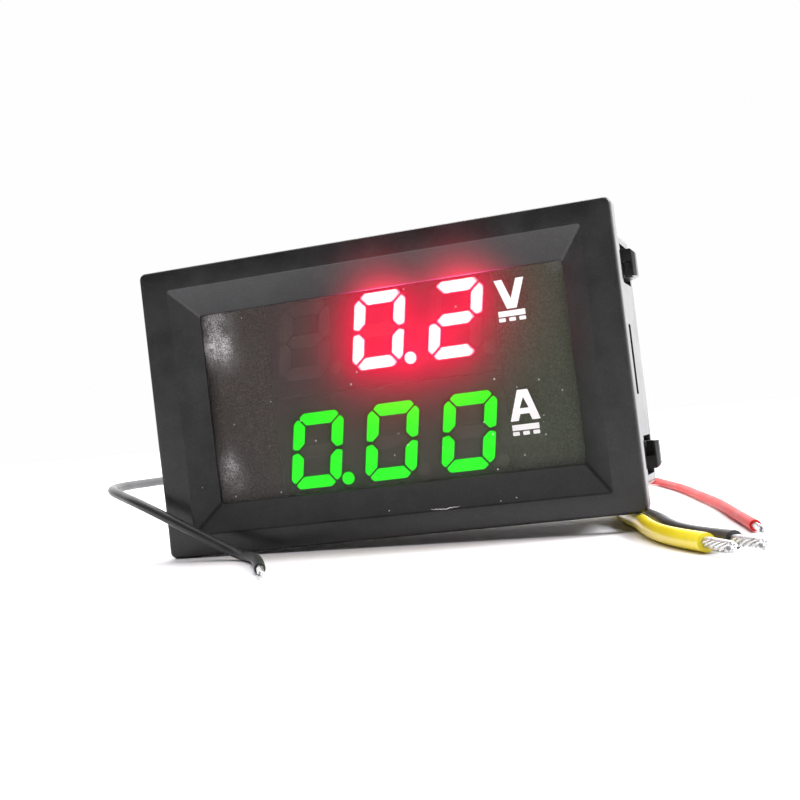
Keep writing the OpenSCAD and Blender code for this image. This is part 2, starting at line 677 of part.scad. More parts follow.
module supply_header() color([0.93, 0.92, 0.88]) at([supply_x, supply_z]) {
    top = board_back + supply_header_h;
    difference() {
        slab(board_back + 0.01, top) square(supply_header, center = true);
        slab(board_back + supply_floor, top + overcut)
            square([supply_header[0] - 2 * supply_wall, supply_header[1] - 2 * supply_wall], center = true);
        slab(board_back - overcut, board_back + supply_floor + overcut)
            for (s = [-1, 1]) translate([0, s * supply_pitch / 2])
                square(supply_pin_w + 2 * hair, center = true);
        // two keyways in one long wall
        slab(top - 4, top + overcut)
            for (s = [-1, 1]) translate([supply_header[0] / 2, s * supply_pitch / 2])
                square([2 * supply_wall + overcut, 0.9], center = true);
    }
}

module supply_pins() color([0.85, 0.82, 0.7])
    for (p = supply_pins_at) at(p) {
        slab(board_y - pin_tail, board_back + supply_pin_h) square(supply_pin_w, center = true);
        translate([0, board_y, 0]) mirror([0, 1, 0]) solder_cone(supply_hole_d);
    }

module supply_plug() color([0.95, 0.94, 0.9]) at([supply_x, supply_z]) {
    rim = board_back + supply_header_h;
    difference() {
        union() {
            slab(supply_plug_y, supply_plug_back) square(supply_plug, center = true);
            slab(rim + 0.1, supply_plug_back - 0.8) square(supply_header - [0.4, 0.4], center = true);
            // keys that slide in the header's keyways
            slab(rim - 2.4, supply_plug_back - 0.8)
                for (s = [-1, 1]) translate([supply_plug[0] / 2, s * supply_pitch / 2])
                    square([0.9, 0.6], center = true);
        }
        slab(supply_plug_y - overcut, supply_plug_back + overcut)
            for (s = [-1, 1]) translate([0, s * supply_pitch / 2]) square(1.9, center = true);
        // openings over the contacts' springs
        for (s = [-1, 1]) translate([supply_plug[0] / 2, rim + 1.2, s * supply_pitch / 2])
            cube([2 * supply_wall + 2, 1.3, 0.9], center = true);
    }
}

// Crimp contacts: a square socket over the pin, then a barrel round the lead.
module crimp_contact(y0, y1, socket, barrel_d) {
    socket_l = socket[2];
    slab(y0, y0 + socket_l) difference() {
        square(socket[0], center = true);
        square(socket[1], center = true);
    }
    slab(y0 + socket_l - 0.01, y0 + socket_l + 0.6) square(socket[0], center = true);
    translate([0, y0 + socket_l + 0.5, 0]) rotate([-90, 0, 0])
        cylinder(d = barrel_d, h = y1 - y0 - socket_l - 0.5, $fn = 20);
}

module supply_contacts() color([0.8, 0.78, 0.72])
    for (p = supply_pins_at) at(p)
        crimp_contact(supply_plug_y + 0.3, supply_plug_back, supply_socket, supply_barrel_d);

// ---- current header and plug ----

module current_header() color([0.93, 0.92, 0.88]) at([current_x, current_z]) {
    difference() {
        union() {
            slab(board_back + 0.01, board_back + current_base_t) square(current_base, center = true);
            slab(board_back + 0.01, board_back + current_header_h)
                translate([current_wall_x + current_wall_t / 2, 0])
                    square([current_wall_t, current_base[1] - 2 * current_wall_inset], center = true);
        }
        slab(board_back - overcut, board_back + current_base_t + overcut)
            for (s = [-1, 0, 1]) translate([0, s * current_pitch])
                square(current_pin_w + 2 * hair, center = true);
        // window in the latching wall
        translate([current_wall_x + current_wall_t / 2, board_back + latch_y, 0])
            cube([2 * current_wall_t, latch_window[0], latch_window[1]], center = true);
    }
}

module current_pins() color([0.85, 0.82, 0.7])
    for (p = current_pins_at) at(p) {
        slab(board_y - pin_tail, board_back + current_pin_h) square(current_pin_w, center = true);
        translate([0, board_y, 0]) mirror([0, 1, 0]) solder_cone(current_hole_d);
    }

module current_plug() color([0.95, 0.94, 0.9]) at([current_x, current_z])
    difference() {
        union() {
            slab(current_plug_y, current_plug_back)
                translate([current_plug_x, 0]) square(current_plug, center = true);
            // grip ribs on the outer side
            for (k = [1:3])
                slab(current_plug_back - 0.4 - k * grip_pitch, current_plug_back + 0.1 - k * grip_pitch)
                    translate([current_plug_x + current_plug[0] / 2, 0])
                        square([0.7, current_plug[1] - 2 * grip_inset], center = true);
            // latch that reaches into the header's window
            translate([current_plug_x - current_plug[0] / 2, board_back + latch_y, 0])
                cube([
                    current_wall_t + 0.1, latch_window[0] - latch_slack[0],
                    latch_window[1] - latch_slack[1]
                ], center = true);
        }
        slab(current_plug_y - overcut, current_plug_back + overcut)
            for (s = [-1, 0, 1]) translate([0, s * current_pitch])
                square(current_cavity_w, center = true);
        // openings over the contacts' springs
        for (s = [-1, 0, 1])
            translate([current_plug_x + current_plug[0] / 2, current_plug_y + spring_y, s * current_pitch])
                cube(spring_opening, center = true);
    }

// The middle place of the plug is empty: only the two outer ones carry a lead.
module current_contacts() color([0.8, 0.78, 0.72])
    for (k = [0, 2]) at(current_pins_at[k])
        crimp_contact(current_plug_y + 0.3, current_plug_back, current_socket, current_barrel_d);

// ---- leads ----

// A round tube swept along the points, with one ring of corners at each.
module lead(points, d, side) {
    last = len(points) - 1;
    ring_r = d / 2;
    rings = [
        for (i = [0:last])
            let (way = unit(points[min(i + 1, last)] - points[max(i - 1, 0)]))
            let (u = unit(cross(side, way)), v = cross(way, u))
            for (k = [0:lead_sides - 1])
                let (a = 360 * (k + 0.5) / lead_sides)
                points[i] + ring_r * (cos(a) * u + sin(a) * v)
    ];
    walls = [
        for (i = [0:last - 1], k = [0:lead_sides - 1])
            let (a = i * lead_sides + k, b = i * lead_sides + (k + 1) % lead_sides)
            each [[a, b, b + lead_sides], [a, b + lead_sides, a + lead_sides]]
    ];
    polyhedron(rings, concat(
        walls,
        [[for (k = [lead_sides - 1:-1:0]) k]],
        [[for (k = [0:lead_sides - 1]) last * lead_sides + k]]
    ));
}

// The tinned strands that stick out of a lead's free end.
module bare_tip(points, d) {
    last = len(points) - 1;
    way = unit(points[last] - points[last - 1]);
    translate(points[last])
        rotate([0, acos(way[2]), atan2(way[1], way[0])])
            cylinder(d = 0.62 * d, h = bare_tip_l, $fn = 16);
}

module red_supply_lead() color([0.85, 0.08, 0.08]) lead(red_supply_route, thin_lead_d, [0, 0, 1]);
module black_supply_lead() color([0.1, 0.1, 0.1]) lead(black_supply_route, thin_lead_d, [0, 0, 1]);
module yellow_current_lead() color([0.95, 0.85, 0.05]) lead(yellow_current_route, thick_lead_d, [0, 0, 1]);
module black_current_lead() color([0.1, 0.1, 0.1]) lead(black_current_route, thick_lead_d, [0, 0, 1]);
module red_supply_tip() color([0.8, 0.8, 0.82]) bare_tip(red_supply_route, thin_lead_d);
module black_supply_tip() color([0.8, 0.8, 0.82]) bare_tip(black_supply_route, thin_lead_d);
module yellow_current_tip() color([0.8, 0.8, 0.82]) bare_tip(yellow_current_route, thick_lead_d);
module black_current_tip() color([0.8, 0.8, 0.82]) bare_tip(black_current_route, thick_lead_d);

housing();
display_window();
volts_display_case();
volts_segments_lit();
volts_segments_dark();
volts_display_pins();
amps_display_case();
amps_segments_lit();
amps_segments_dark();
amps_display_pins();
main_board();
controller_chip();
controller_leads();
amplifier_chip();
amplifier_leads();
regulator_chip();
regulator_leads();
protection_diode();
diode_leads();
chip_resistors();
chip_capacitors();
chip_end_caps();
current_shunt();
volts_trimmer_base();
volts_trimmer_rotor();
amps_trimmer_base();
amps_trimmer_rotor();
supply_header();
supply_pins();
supply_plug();
supply_contacts();
current_header();
current_pins();
current_plug();
current_contacts();
red_supply_lead();
black_supply_lead();
yellow_current_lead();
black_current_lead();
red_supply_tip();
black_supply_tip();
yellow_current_tip();
black_current_tip();
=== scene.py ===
"""Looks of a digital panel meter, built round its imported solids.

Lengths in the tables are millimetres; MM turns them into metres. The frame is the solids' own:
the origin is the centre of the panel cut-out, +X is right as seen from the front, +Y goes back
and +Z is up.
"""

import math

import bmesh
import bpy
import numpy as np
from mathutils import Matrix, Vector


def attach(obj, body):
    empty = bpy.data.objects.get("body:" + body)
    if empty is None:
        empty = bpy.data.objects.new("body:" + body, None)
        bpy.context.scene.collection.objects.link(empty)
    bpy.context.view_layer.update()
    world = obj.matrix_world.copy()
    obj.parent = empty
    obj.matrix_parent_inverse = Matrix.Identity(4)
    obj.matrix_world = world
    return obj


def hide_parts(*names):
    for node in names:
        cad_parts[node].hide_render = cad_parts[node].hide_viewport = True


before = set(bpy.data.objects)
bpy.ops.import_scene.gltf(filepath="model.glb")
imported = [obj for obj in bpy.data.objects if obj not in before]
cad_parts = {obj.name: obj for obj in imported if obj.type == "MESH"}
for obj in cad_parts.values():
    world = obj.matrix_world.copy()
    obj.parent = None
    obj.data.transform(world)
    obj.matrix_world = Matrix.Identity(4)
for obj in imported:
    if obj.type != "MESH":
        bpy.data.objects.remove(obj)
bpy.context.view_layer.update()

MM = 0.001
METER = "meter"

# ---------------------------------------------------------------- camera, bench and leads

CAMERA_AT = (37.839, -121.208, -5.264)
CAMERA_RIGHT = (0.94960376, 0.28988966, -0.11923374)
CAMERA_UP = (0.12282616, 0.00583911, 0.99241102)
CAMERA_BACK = (0.28838592, -0.95704226, -0.03006119)
LENS = 58.76

# The bench that the meter rests on, in the meter's own frame: it falls to the right.
BENCH_X = -24.0
BENCH_Z = -14.5
BENCH_SLOPE = -0.035

RED_SUPPLY_ROUTE = [
    (-17, 21.5, -3.95), (-16.6, 26, -4.2), (-15, 33, -5.6), (-12, 41, -8.2), (-8.5, 49, -11.4),
    (-5, 57, -13.8), (-1.2, 64.5, -14.7), (3.5, 70, -14.9), (9, 72.3, -15.1), (14, 70.8, -15.25),
    (17.2, 66.3, -15.35), (19.2, 59.9, -15.45), (22.4, 48, -15.55), (26, 31.4, -15.65),
    (29.05, 16.6, -15.75), (31.05, 4.9, -15.85), (32.3, -2.4, -15.9), (33.3, -8.5, -15.9),
]
BLACK_SUPPLY_ROUTE = [
    (-17, 21.5, -6.45), (-17.2, 27, -6.7), (-18.2, 35, -7), (-20.8, 42.5, -7.2),
    (-25, 46.8, -7.3), (-30, 46.8, -7.2), (-33.8, 43, -7), (-35.6, 36.5, -6.9),
    (-36.3, 28, -6.8), (-36.2, 19, -6.8), (-35.1, 11, -6.8), (-33.5, 5.2, -6.9),
    (-31.15, 0.8, -7.15), (-28.2, -2.3, -7.8), (-25.6, -4.2, -8.6), (-22.5, -5.2, -10.05),
    (-19.7, -5.7, -11.55), (-16.5, -6.2, -13.25), (-14.1, -7.2, -14.25), (-11.4, -10.4, -14.4),
    (-9, -14.8, -14.5), (-6.6, -20, -14.6),
]
YELLOW_CURRENT_ROUTE = [
    (15.6, 25.3, -3.96), (15.4, 30, -4.4), (14, 37, -7), (12.3, 44, -11), (10.5, 50, -14),
    (9.6, 55, -14.8), (10.3, 59, -14.9), (12.6, 60.6, -14.95), (14.6, 58.8, -15),
    (15.3, 54, -15.05), (15.9, 46, -15.1), (16.6, 36, -15.1), (17.6, 26, -15.15),
    (19, 16, -15.2), (20.6, 7.8, -15.25), (22.9, -0.9, -15.3), (25.2, -10.3, -15.4),
    (27.4, -16.5, -15.45), (30.2, -22, -15.55),
]
BLACK_CURRENT_ROUTE = [
    (15.6, 25.3, 3.96), (15.4, 30, 3.6), (14.2, 37, 1), (12, 44, -3.5), (9.2, 50.5, -9),
    (6.5, 55.5, -13.2), (5, 59.6, -14.6), (6, 63.8, -14.75), (9.5, 65.8, -14.85),
    (13.2, 64.4, -15), (15.7, 60.6, -15.05), (16.9, 54.2, -15.1), (17.5, 46, -15.1),
    (18.2, 36, -15.15), (19.2, 26, -15.2), (20.6, 16.2, -15.25), (22.2, 8.1, -15.3),
    (24.5, -0.6, -15.35), (26.8, -10, -15.45), (29, -16, -15.5), (32.2, -21.6, -15.6),
]
# name: route, diameter, sheath finish, record slot
LEADS = {
    "red_supply": (RED_SUPPLY_ROUTE, 1.0, "red_sheath", "lead_red"),
    "black_supply": (BLACK_SUPPLY_ROUTE, 1.0, "black_sheath", "lead_black"),
    "yellow_current": (YELLOW_CURRENT_ROUTE, 1.5, "yellow_sheath", "lead_yellow"),
    "black_current": (BLACK_CURRENT_ROUTE, 1.5, "black_sheath", "lead_black"),
}
TIP_LENGTH = 4.5
# the conductor's share of a sheath's diameter, and the turns that its strands make
CONDUCTOR_SHARE = 0.62
STRAND_TURNS = 0.8

# ---------------------------------------------------------------- sizes of the meter

BEZEL_HALF = (24.0, 14.5)
FRONT_Y = -2.2
RIM = (3.0, 2.15)
SLOPE_FOOT = (5.35, 4.9)
FOOT_Y = -0.25
CORNER_R = 0.7
WINDOW_HALF = (19.65, 10.6)
WINDOW_FRONT, WINDOW_BACK = 0.02, 1.0
DISPLAY_Y = 1.2
DISPLAY_X = -0.36
VOLTS_Z = 5.7
AMPS_Z = -5.3
DIGIT_PITCH = 7.85
DIGIT_W, DIGIT_H, STROKE, SEGMENT_GAP = 5.3, 7.5, 1.2, 0.18
CORNER_CUT, WAIST_CUT = 0.84, 0.18
LEAN = math.tan(math.radians(9.5))
POINT_D = 1.25
BOARD_BACK = 11.0
# what each display reads, where -1 is a dark digit, and the number of the digit with the point
VOLTS_DIGITS, VOLTS_POINT = (-1, 0, 2), 2
AMPS_DIGITS, AMPS_POINT = (0, 0, 0), 1
# the lit segments of a digit: 0 is the top one, 1 to 5 go clockwise, and 6 is the middle one
LIT = {-1: (), 0: (0, 1, 2, 3, 4, 5), 2: (0, 1, 3, 4, 6)}


# ---------------------------------------------------------------- mesh helpers

# metres within which two corners of a solid, or of a new mesh, are one
SOLID_WELD, MESH_WELD = 2e-6, 1e-7
# a direction that no swept path here runs along
ASIDE = (0.13, 0.21, 0.97)


def placed(data):
    """A new object of the scene, named as what it shows."""
    item = bpy.data.objects.new(data.name, data)
    bpy.context.scene.collection.objects.link(item)
    return item


def mesh_piece(name, points, faces, *finishes, body=METER, slot=None, smooth=35.0):
    """A new object from arrays of points (mm) and faces, that rides on a body."""
    mesh = bpy.data.meshes.new(name)
    mesh.from_pydata((np.asarray(points, float) * MM).tolist(), [], [list(f) for f in faces])
    mesh.update()
    for finish in finishes:
        mesh.materials.append(bpy.data.materials[finish])
    shade(mesh, smooth)
    piece = placed(mesh)
    if body:
        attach(piece, body)
    return piece


def shade(mesh, smooth):
    """Smooth faces, with edges sharper than `smooth` degrees kept sharp."""
    mesh.polygons.foreach_set("use_smooth", np.ones(len(mesh.polygons), bool))
    mesh.set_sharp_from_angle(angle=math.radians(smooth))


def keep_on_points(piece, name, values):
    """An attribute with one number, or the four of a colour, for each point of a piece."""
    kind, field = ("FLOAT_COLOR", "color") if values.ndim > 1 else ("FLOAT", "value")
    layer = piece.data.attributes.new(name, kind, "POINT")
    layer.data.foreach_set(field, values.astype(np.float32).ravel())


def rectangle(left, right, low, high):
    """The corners (x, z) of a rectangle."""
    return [(left, low), (right, low), (right, high), (left, high)]


def circle(x, z, radius, count=20):
    """Points (x + r cos a, z + r sin a) at even angles."""
    a = 2 * np.pi * np.arange(count) / count
    return np.stack([x + radius * np.cos(a), z + radius * np.sin(a)], -1)


def grid_faces(rows, columns, close_rows=False, close_columns=False):
    """Quads of a grid whose point (i, j) has the number i * columns + j."""
    i = np.arange(rows if close_rows else rows - 1)[:, None]
    j = np.arange(columns if close_columns else columns - 1)[None, :]
    i2, j2 = (i + 1) % rows, (j + 1) % columns
    quads = np.stack(np.broadcast_arrays(
        i * columns + j, i * columns + j2, i2 * columns + j2, i2 * columns + j), -1)
    return quads.reshape(-1, 4)


def rounded_line(corners, radii, steps):
    """A line through corners, each one swapped for a curve b(t) = (1-t)^2 p + 2t(1-t) c + t^2 q
    that starts and ends `radius` away from its corner c. The line closes on itself."""
    c = np.asarray(corners, float)
    r = np.asarray(radii, float)[:, None]
    before, after = np.roll(c, 1, 0) - c, np.roll(c, -1, 0) - c
    p = c + before / np.linalg.norm(before, axis=1, keepdims=True) * r
    q = c + after / np.linalg.norm(after, axis=1, keepdims=True) * r
    t = np.linspace(0, 1, steps)[None, :, None]
    curve = (1 - t) ** 2 * p[:, None] + 2 * t * (1 - t) * c[:, None] + t ** 2 * q[:, None]
    return curve.reshape(-1, c.shape[1])


def rings_to_points(half_w, half_h, radius, depth, steps=7):
    """Rectangles with rounded corners, one ring for each depth. Along a ring, at corner signs
    (sx, sz) and angle a, x = sx (w - r) + r cos a and z = sz (h - r) + r sin a."""
    quarter = np.repeat(np.arange(4), steps)
    a = np.pi / 2 * (quarter + np.tile(np.linspace(0, 1, steps), 4))
    sx = np.where((quarter == 0) | (quarter == 3), 1, -1)
    sz = np.where(quarter < 2, 1, -1)
    w, h, r, y = (np.asarray(v, float)[:, None] for v in (half_w, half_h, radius, depth))
    x = sx * (w - r) + r * np.cos(a)
    z = sz * (h - r) + r * np.sin(a)
    return np.stack([x, np.broadcast_to(y, x.shape), z], -1).reshape(-1, 3), 4 * steps


def prism(outline, y_front, y_back):
    """Points and faces of a flat outline (x, z) made solid between two depths."""
    n = len(outline)
    xz = np.asarray(outline, float)
    front = np.stack([xz[:, 0], np.full(n, y_front), xz[:, 1]], -1)
    back = front.copy()
    back[:, 1] = y_back
    faces = [list(range(n)), list(range(2 * n - 1, n - 1, -1))]
    faces += [[(k + 1) % n, k, n + k, n + (k + 1) % n] for k in range(n)]
    return np.concatenate([front, back]), faces


def merged(parts):
    """Several (points, faces) pairs as one."""
    points, faces, count = [], [], 0
    for p, f in parts:
        points.append(np.asarray(p, float))
        faces += [[v + count for v in face] for face in f]
        count += len(p)
    return np.concatenate(points), faces


def recalculated(piece):
    """The same piece with all faces turned outwards."""
    bm = bmesh.new()
    bm.from_mesh(piece.data)
    bmesh.ops.remove_doubles(bm, verts=bm.verts, dist=MESH_WELD)
    bmesh.ops.recalc_face_normals(bm, faces=bm.faces)
    bm.to_mesh(piece.data)
    bm.free()
    return piece


# a solid's triangles are joined where they meet at less than the first angle, and its edges
# are rounded where they meet at more than the second
FLAT_DEGREES, ROUNDED_DEGREES = 1.0, 40


def softened(node, finish, rounding, body=METER, name=None, cut=None):
    """A copy of a solid with its triangles joined into flat faces and its sharp edges rounded.
    `cut` is a function that changes the copy's bmesh first."""
    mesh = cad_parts[node].data.copy()
    mesh.name = name or node + "_finish"
    bm = bmesh.new()
    bm.from_mesh(mesh)
    bmesh.ops.remove_doubles(bm, verts=bm.verts, dist=SOLID_WELD)
    if cut:
        cut(bm)
    bmesh.ops.dissolve_limit(
        bm, angle_limit=math.radians(FLAT_DEGREES), verts=bm.verts, edges=bm.edges)
    bm.to_mesh(mesh)
    bm.free()
    mesh.materials.clear()
    mesh.materials.append(bpy.data.materials[finish])
    shade(mesh, 30)
    piece = placed(mesh)
    if rounding:
        bevel = piece.modifiers.new("rounding", "BEVEL")
        bevel.width = rounding * MM
        bevel.segments = 2
        bevel.limit_method = "ANGLE"
        bevel.angle_limit = math.radians(ROUNDED_DEGREES)
        bevel.harden_normals = True
    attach(piece, body)
    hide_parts(node)
    return piece


def swept(path, radius, sides):
    """A tube along a path. At each point t is the path's direction, u = t x ASIDE and
    v = u x t, and the ring's points are path + r (cos a u + sin a v)."""
    path = np.asarray(path, float)
    tangent = np.gradient(path, axis=0)
    tangent /= np.linalg.norm(tangent, axis=1, keepdims=True)
    u = np.cross(tangent, ASIDE)
    u /= np.linalg.norm(u, axis=1, keepdims=True)
    v = np.cross(u, tangent)
    a = 2 * np.pi * np.arange(sides) / sides
    r = np.broadcast_to(np.asarray(radius, float), len(path))[:, None, None]
    ring = np.cos(a)[None, :, None] * u[:, None] + np.sin(a)[None, :, None] * v[:, None]
    points = (path[:, None] + r * ring).reshape(-1, 3)
    faces = grid_faces(len(path), sides, close_columns=True).tolist()
    faces += [list(range(sides))[::-1], list(range(len(points) - sides, len(points)))]
    return points, faces


# ---------------------------------------------------------------- node helpers

class Nodes:
    """A node tree with short ways to add to it. Its textures read the point `place`."""

    def __init__(self, tree, place=None):
        self.tree = tree
        self.place = place

    def put(self, socket, value):
        """A number, a colour, a vector or another node's output into a socket."""
        if isinstance(value, tuple):
            # a colour is written with three values, and its fourth is 1
            socket.default_value = value + (1,) * (len(socket.default_value) - len(value))
        elif isinstance(value, (int, float)):
            socket.default_value = value
        else:
            self.tree.links.new(value, socket)

    def add(self, kind, inputs=None, **fields):
        """A new node with its fields set, and its inputs filled by name or number."""
        node = self.tree.nodes.new(kind)
        for key, value in fields.items():
            setattr(node, key, value)
        for key, value in (inputs or {}).items():
            self.put(node.inputs[key], value)
        return node

    def math(self, operation, a, b, clamp=False):
        """The result of a sum on two values."""
        return self.add("ShaderNodeMath", {0: a, 1: b}, operation=operation,
                        use_clamp=clamp).outputs[0]

    def noise(self, scale, detail=2.0, roughness=0.5):
        """Smooth noise from 0 to 1, `scale` times to the metre."""
        return self.add("ShaderNodeTexNoise", {
            "Vector": self.place, "Scale": scale, "Detail": detail,
            "Roughness": roughness}).outputs[0]


class Group(Nodes):
    """A node group with a Place, float inputs (name: default) and float outputs."""

    def __init__(self, name, inputs, outputs):
        tree = bpy.data.node_groups.new(name, "ShaderNodeTree")
        tree.interface.new_socket("Place", in_out="INPUT", socket_type="NodeSocketVector")
        for key, value in inputs.items():
            socket = tree.interface.new_socket(
                key, in_out="INPUT", socket_type="NodeSocketFloat")
            socket.default_value = value
        for key in outputs:
            tree.interface.new_socket(key, in_out="OUTPUT", socket_type="NodeSocketFloat")
        self.given = tree.nodes.new("NodeGroupInput").outputs
        self.out = tree.nodes.new("NodeGroupOutput").inputs
        super().__init__(tree, self.given["Place"])


class Finish(Nodes):
    """A Principled material, whose textures read the object's own coordinates. Words after
    the roughness are sockets of the shader, with _ for a space."""

    def __init__(self, name, color, roughness, **sockets):
        material = bpy.data.materials.new(name)
        material.use_nodes = True
        super().__init__(material.node_tree)
        self.shader = next(n for n in self.tree.nodes if n.type == "BSDF_PRINCIPLED")
        self.place = self.add("ShaderNodeTexCoord").outputs["Object"]
        self.to("Base Color", color)
        self.to("Roughness", roughness)
        for key, value in sockets.items():
            self.to(key.replace("_", " "), value)

    def to(self, socket, value):
        self.put(self.shader.inputs[socket], value)

    def group(self, tree, **values):
        """The outputs of a node group that reads the same place."""
        return self.add("ShaderNodeGroup", {"Place": self.place, **values},
                        node_tree=tree).outputs

    def attribute(self, name, output="Fac"):
        return self.add("ShaderNodeAttribute", attribute_name=name).outputs[output]

    def axes(self):
        return self.add("ShaderNodeSeparateXYZ", {"Vector": self.place}).outputs

    def mix(self, factor, a, b):
        """A colour that goes from a to b as factor goes from 0 to 1."""
        node = self.add("ShaderNodeMix", {"Factor": factor}, data_type="RGBA")
        self.put(node.inputs[6], a)
        self.put(node.inputs[7], b)
        return node.outputs[2]

    def between(self, value, low, high, out_low=0.0, out_high=1.0):
        """value carried from low..high to out_low..out_high and held at the ends."""
        return self.add("ShaderNodeMapRange", {
            "Value": value, "From Min": low, "From Max": high,
            "To Min": out_low, "To Max": out_high}).outputs["Result"]

    def share(self, value, centre, reach):
        """(value - centre) / reach, with the last two in millimetres."""
        return self.math("DIVIDE", self.math("SUBTRACT", value, centre * MM), reach * MM)

    def square(self, value):
        return self.math("MULTIPLY", value, value)

    def decay(self, value):
        """e to the power of -value."""
        return self.math("POWER", math.e, self.math("MULTIPLY", value, -1.0))

    def total(self, values):
        result = values[0]
        for value in values[1:]:
            result = self.math("ADD", result, value)
        return result

    def bump(self, height, distance):
        """Relief from a height, where a height of 1 is `distance` millimetres."""
        node = self.add("ShaderNodeBump", {
            "Height": height, "Distance": distance * MM, "Strength": 1.0})
        self.to("Normal", node.outputs["Normal"])


def make_grain_group():
    """Moulded grain: fine noise as a height, and a slow mottle for colour and gloss."""
    group = Group("moulded_grain", {"Scale": 5000.0, "Mottle": 300.0}, ["Height", "Mottle"])
    group.put(group.out["Height"], group.noise(group.given["Scale"], 3))
    group.put(group.out["Mottle"], group.noise(group.given["Mottle"], 4, 0.6))
    return group.tree


def make_dust_group():
    """Settled dust: cells of which a few, chosen by their random colour, hold a speck whose
    radius is that colour's green share, over a thin cloud of finer dust."""
    group = Group("settled_dust", {"Cells": 1100.0, "Share": 0.1, "Speck": 0.12, "Cloud": 0.2},
                  ["Mask"])
    given = group.given
    cells = group.add("ShaderNodeTexVoronoi", {
        "Vector": group.place, "Scale": given["Cells"]}).outputs
    chance = group.add("ShaderNodeSeparateColor", {"Color": cells["Color"]}).outputs
    chosen = group.math("LESS_THAN", chance["Red"], given["Share"])
    radius = group.math("MULTIPLY", chance["Green"], given["Speck"])
    inside = group.math("LESS_THAN", cells["Distance"], radius)
    specks = group.math("MULTIPLY", chosen, inside)
    cloud = group.math("SUBTRACT", group.noise(9000), 0.55, clamp=True)
    haze = group.math("MULTIPLY", cloud, given["Cloud"])
    group.put(group.out["Mask"], group.math("ADD", specks, haze, clamp=True))
    return group.tree


GRAIN = make_grain_group()
DUST = make_dust_group()
# how much finer the grain is than the slow mottle
MOTTLE_SHARE = 14
DUST_GREY = (0.45, 0.44, 0.42)


def dust(cells, share, speck, cloud):
    """Values of the dust group: how fine its cells are, the share of them that hold a speck,
    the largest speck, and how thick the cloud is."""
    return {"Cells": cells, "Share": share, "Speck": speck, "Cloud": cloud}


def moulded(name, dark, light, roughness, grain, depth, settled=None, settled_color=DUST_GREY,
            **sockets):
    """Grained plastic: its colour wanders from `dark` to `light` and its gloss between two
    roughnesses. `grain` is the grain's scale, `depth` its height, and `settled` its dust."""
    finish = Finish(name, light, roughness[1], **sockets)
    grains = finish.group(GRAIN, Scale=grain, Mottle=grain / MOTTLE_SHARE)
    color = finish.mix(finish.between(grains["Mottle"], 0.35, 0.65), dark, light)
    gloss = finish.between(grains["Mottle"], 0.3, 0.7, *roughness)
    if settled:
        color = finish.mix(finish.group(DUST, **settled)["Mask"], color, settled_color)
    finish.to("Base Color", color)
    finish.to("Roughness", gloss)
    finish.bump(grains["Height"], depth)
    return finish


def metal(name, dark, light, roughness, scale, depth=0.003, stretch=None):
    """Metal whose tone and gloss wander with a noise. `stretch` draws the noise out."""
    finish = Finish(name, light, roughness[0], Metallic=1.0)
    if stretch:
        finish.place = finish.add("ShaderNodeMapping", {
            "Vector": finish.place, "Scale": stretch}).outputs[0]
    tone = finish.noise(scale, 3)
    finish.to("Base Color", finish.mix(finish.between(tone, 0.3, 0.7), dark, light))
    finish.to("Roughness", finish.between(tone, 0.3, 0.7, *roughness))
    finish.bump(tone, depth)


# ---------------------------------------------------------------- finishes

BLACK = ((0.012, 0.012, 0.0125), (0.02, 0.02, 0.0205), (0.29, 0.36), 5200, 0.006,
         dust(900.0, 0.05, 0.07, 0.25))
# the red digits' light painted on the bezel as emission: centres of its two lobes, their width,
# and its height
GLOW_X, GLOW_W, GLOW_H = (0.9, 8.7), 3.2, 1.2
GLOW_RED, GLOW_PINK = (1.0, 0.015, 0.07), (1.0, 0.1, 0.4)
MASK_GREEN = (0.01, 0.14, 0.05)
MASK_COAT = {"Coat_Weight": 0.3, "Coat_Roughness": 0.1}
PANE_BLACK = (0.02, 0.017, 0.016)
# how much the window's clean front hides of what lies behind it
PANE_GLOSS = 0.3
# centre x, centre z, half width, half height and strength of each pale cloud
PALE_CLOUDS = [
    (-17.3, 6.4, 1.9, 1.6, 1.25), (-17.1, 8.9, 1.9, 1.0, 0.75), (-16.4, 4.6, 1.6, 1.6, 0.35),
    (-17.3, -6.0, 1.3, 1.7, 0.85), (-16.6, -7.8, 1.6, 1.2, 0.32), (18.0, 9.2, 0.8, 0.7, 0.35),
]


def make_case_finishes():
    """The housing, the displays' faces and their unlit segments."""
    moulded("black_moulding", *BLACK)
    # the bezel's moulding carries the red digits' painted glow, as emission
    add_painted_digit_glow(moulded("bezel_moulding", *BLACK, Emission_Strength=1.0))
    moulded("case_face", (0.02, 0.017, 0.016), (0.034, 0.029, 0.027), (0.45, 0.6), 3000, 0.003)
    moulded("unlit_red", (0.085, 0.06, 0.056), (0.115, 0.082, 0.075), (0.35, 0.45), 3000, 0.002)
    moulded("unlit_green", (0.08, 0.06, 0.05), (0.105, 0.08, 0.066), (0.35, 0.45), 3000, 0.002)


def make_component_finishes():
    """The chips, the capacitors, the trimmers' bases and the connectors."""
    moulded("chip_moulding", (0.014, 0.014, 0.016), (0.028, 0.028, 0.03), (0.5, 0.65), 9000, 0.005)
    moulded("tan_ceramic", (0.4, 0.25, 0.13), (0.52, 0.34, 0.2), (0.4, 0.6), 6000, 0.003)
    moulded("white_ceramic", (0.58, 0.57, 0.545), (0.68, 0.67, 0.645), (0.45, 0.6), 4000, 0.003)
    moulded("nylon", (0.6, 0.575, 0.5), (0.69, 0.67, 0.6), (0.35, 0.5), 2500, 0.004,
            dust(700.0, 0.04, 0.06, 0.15), (0.4, 0.38, 0.34),
            Subsurface_Weight=0.12, Subsurface_Scale=0.0012)


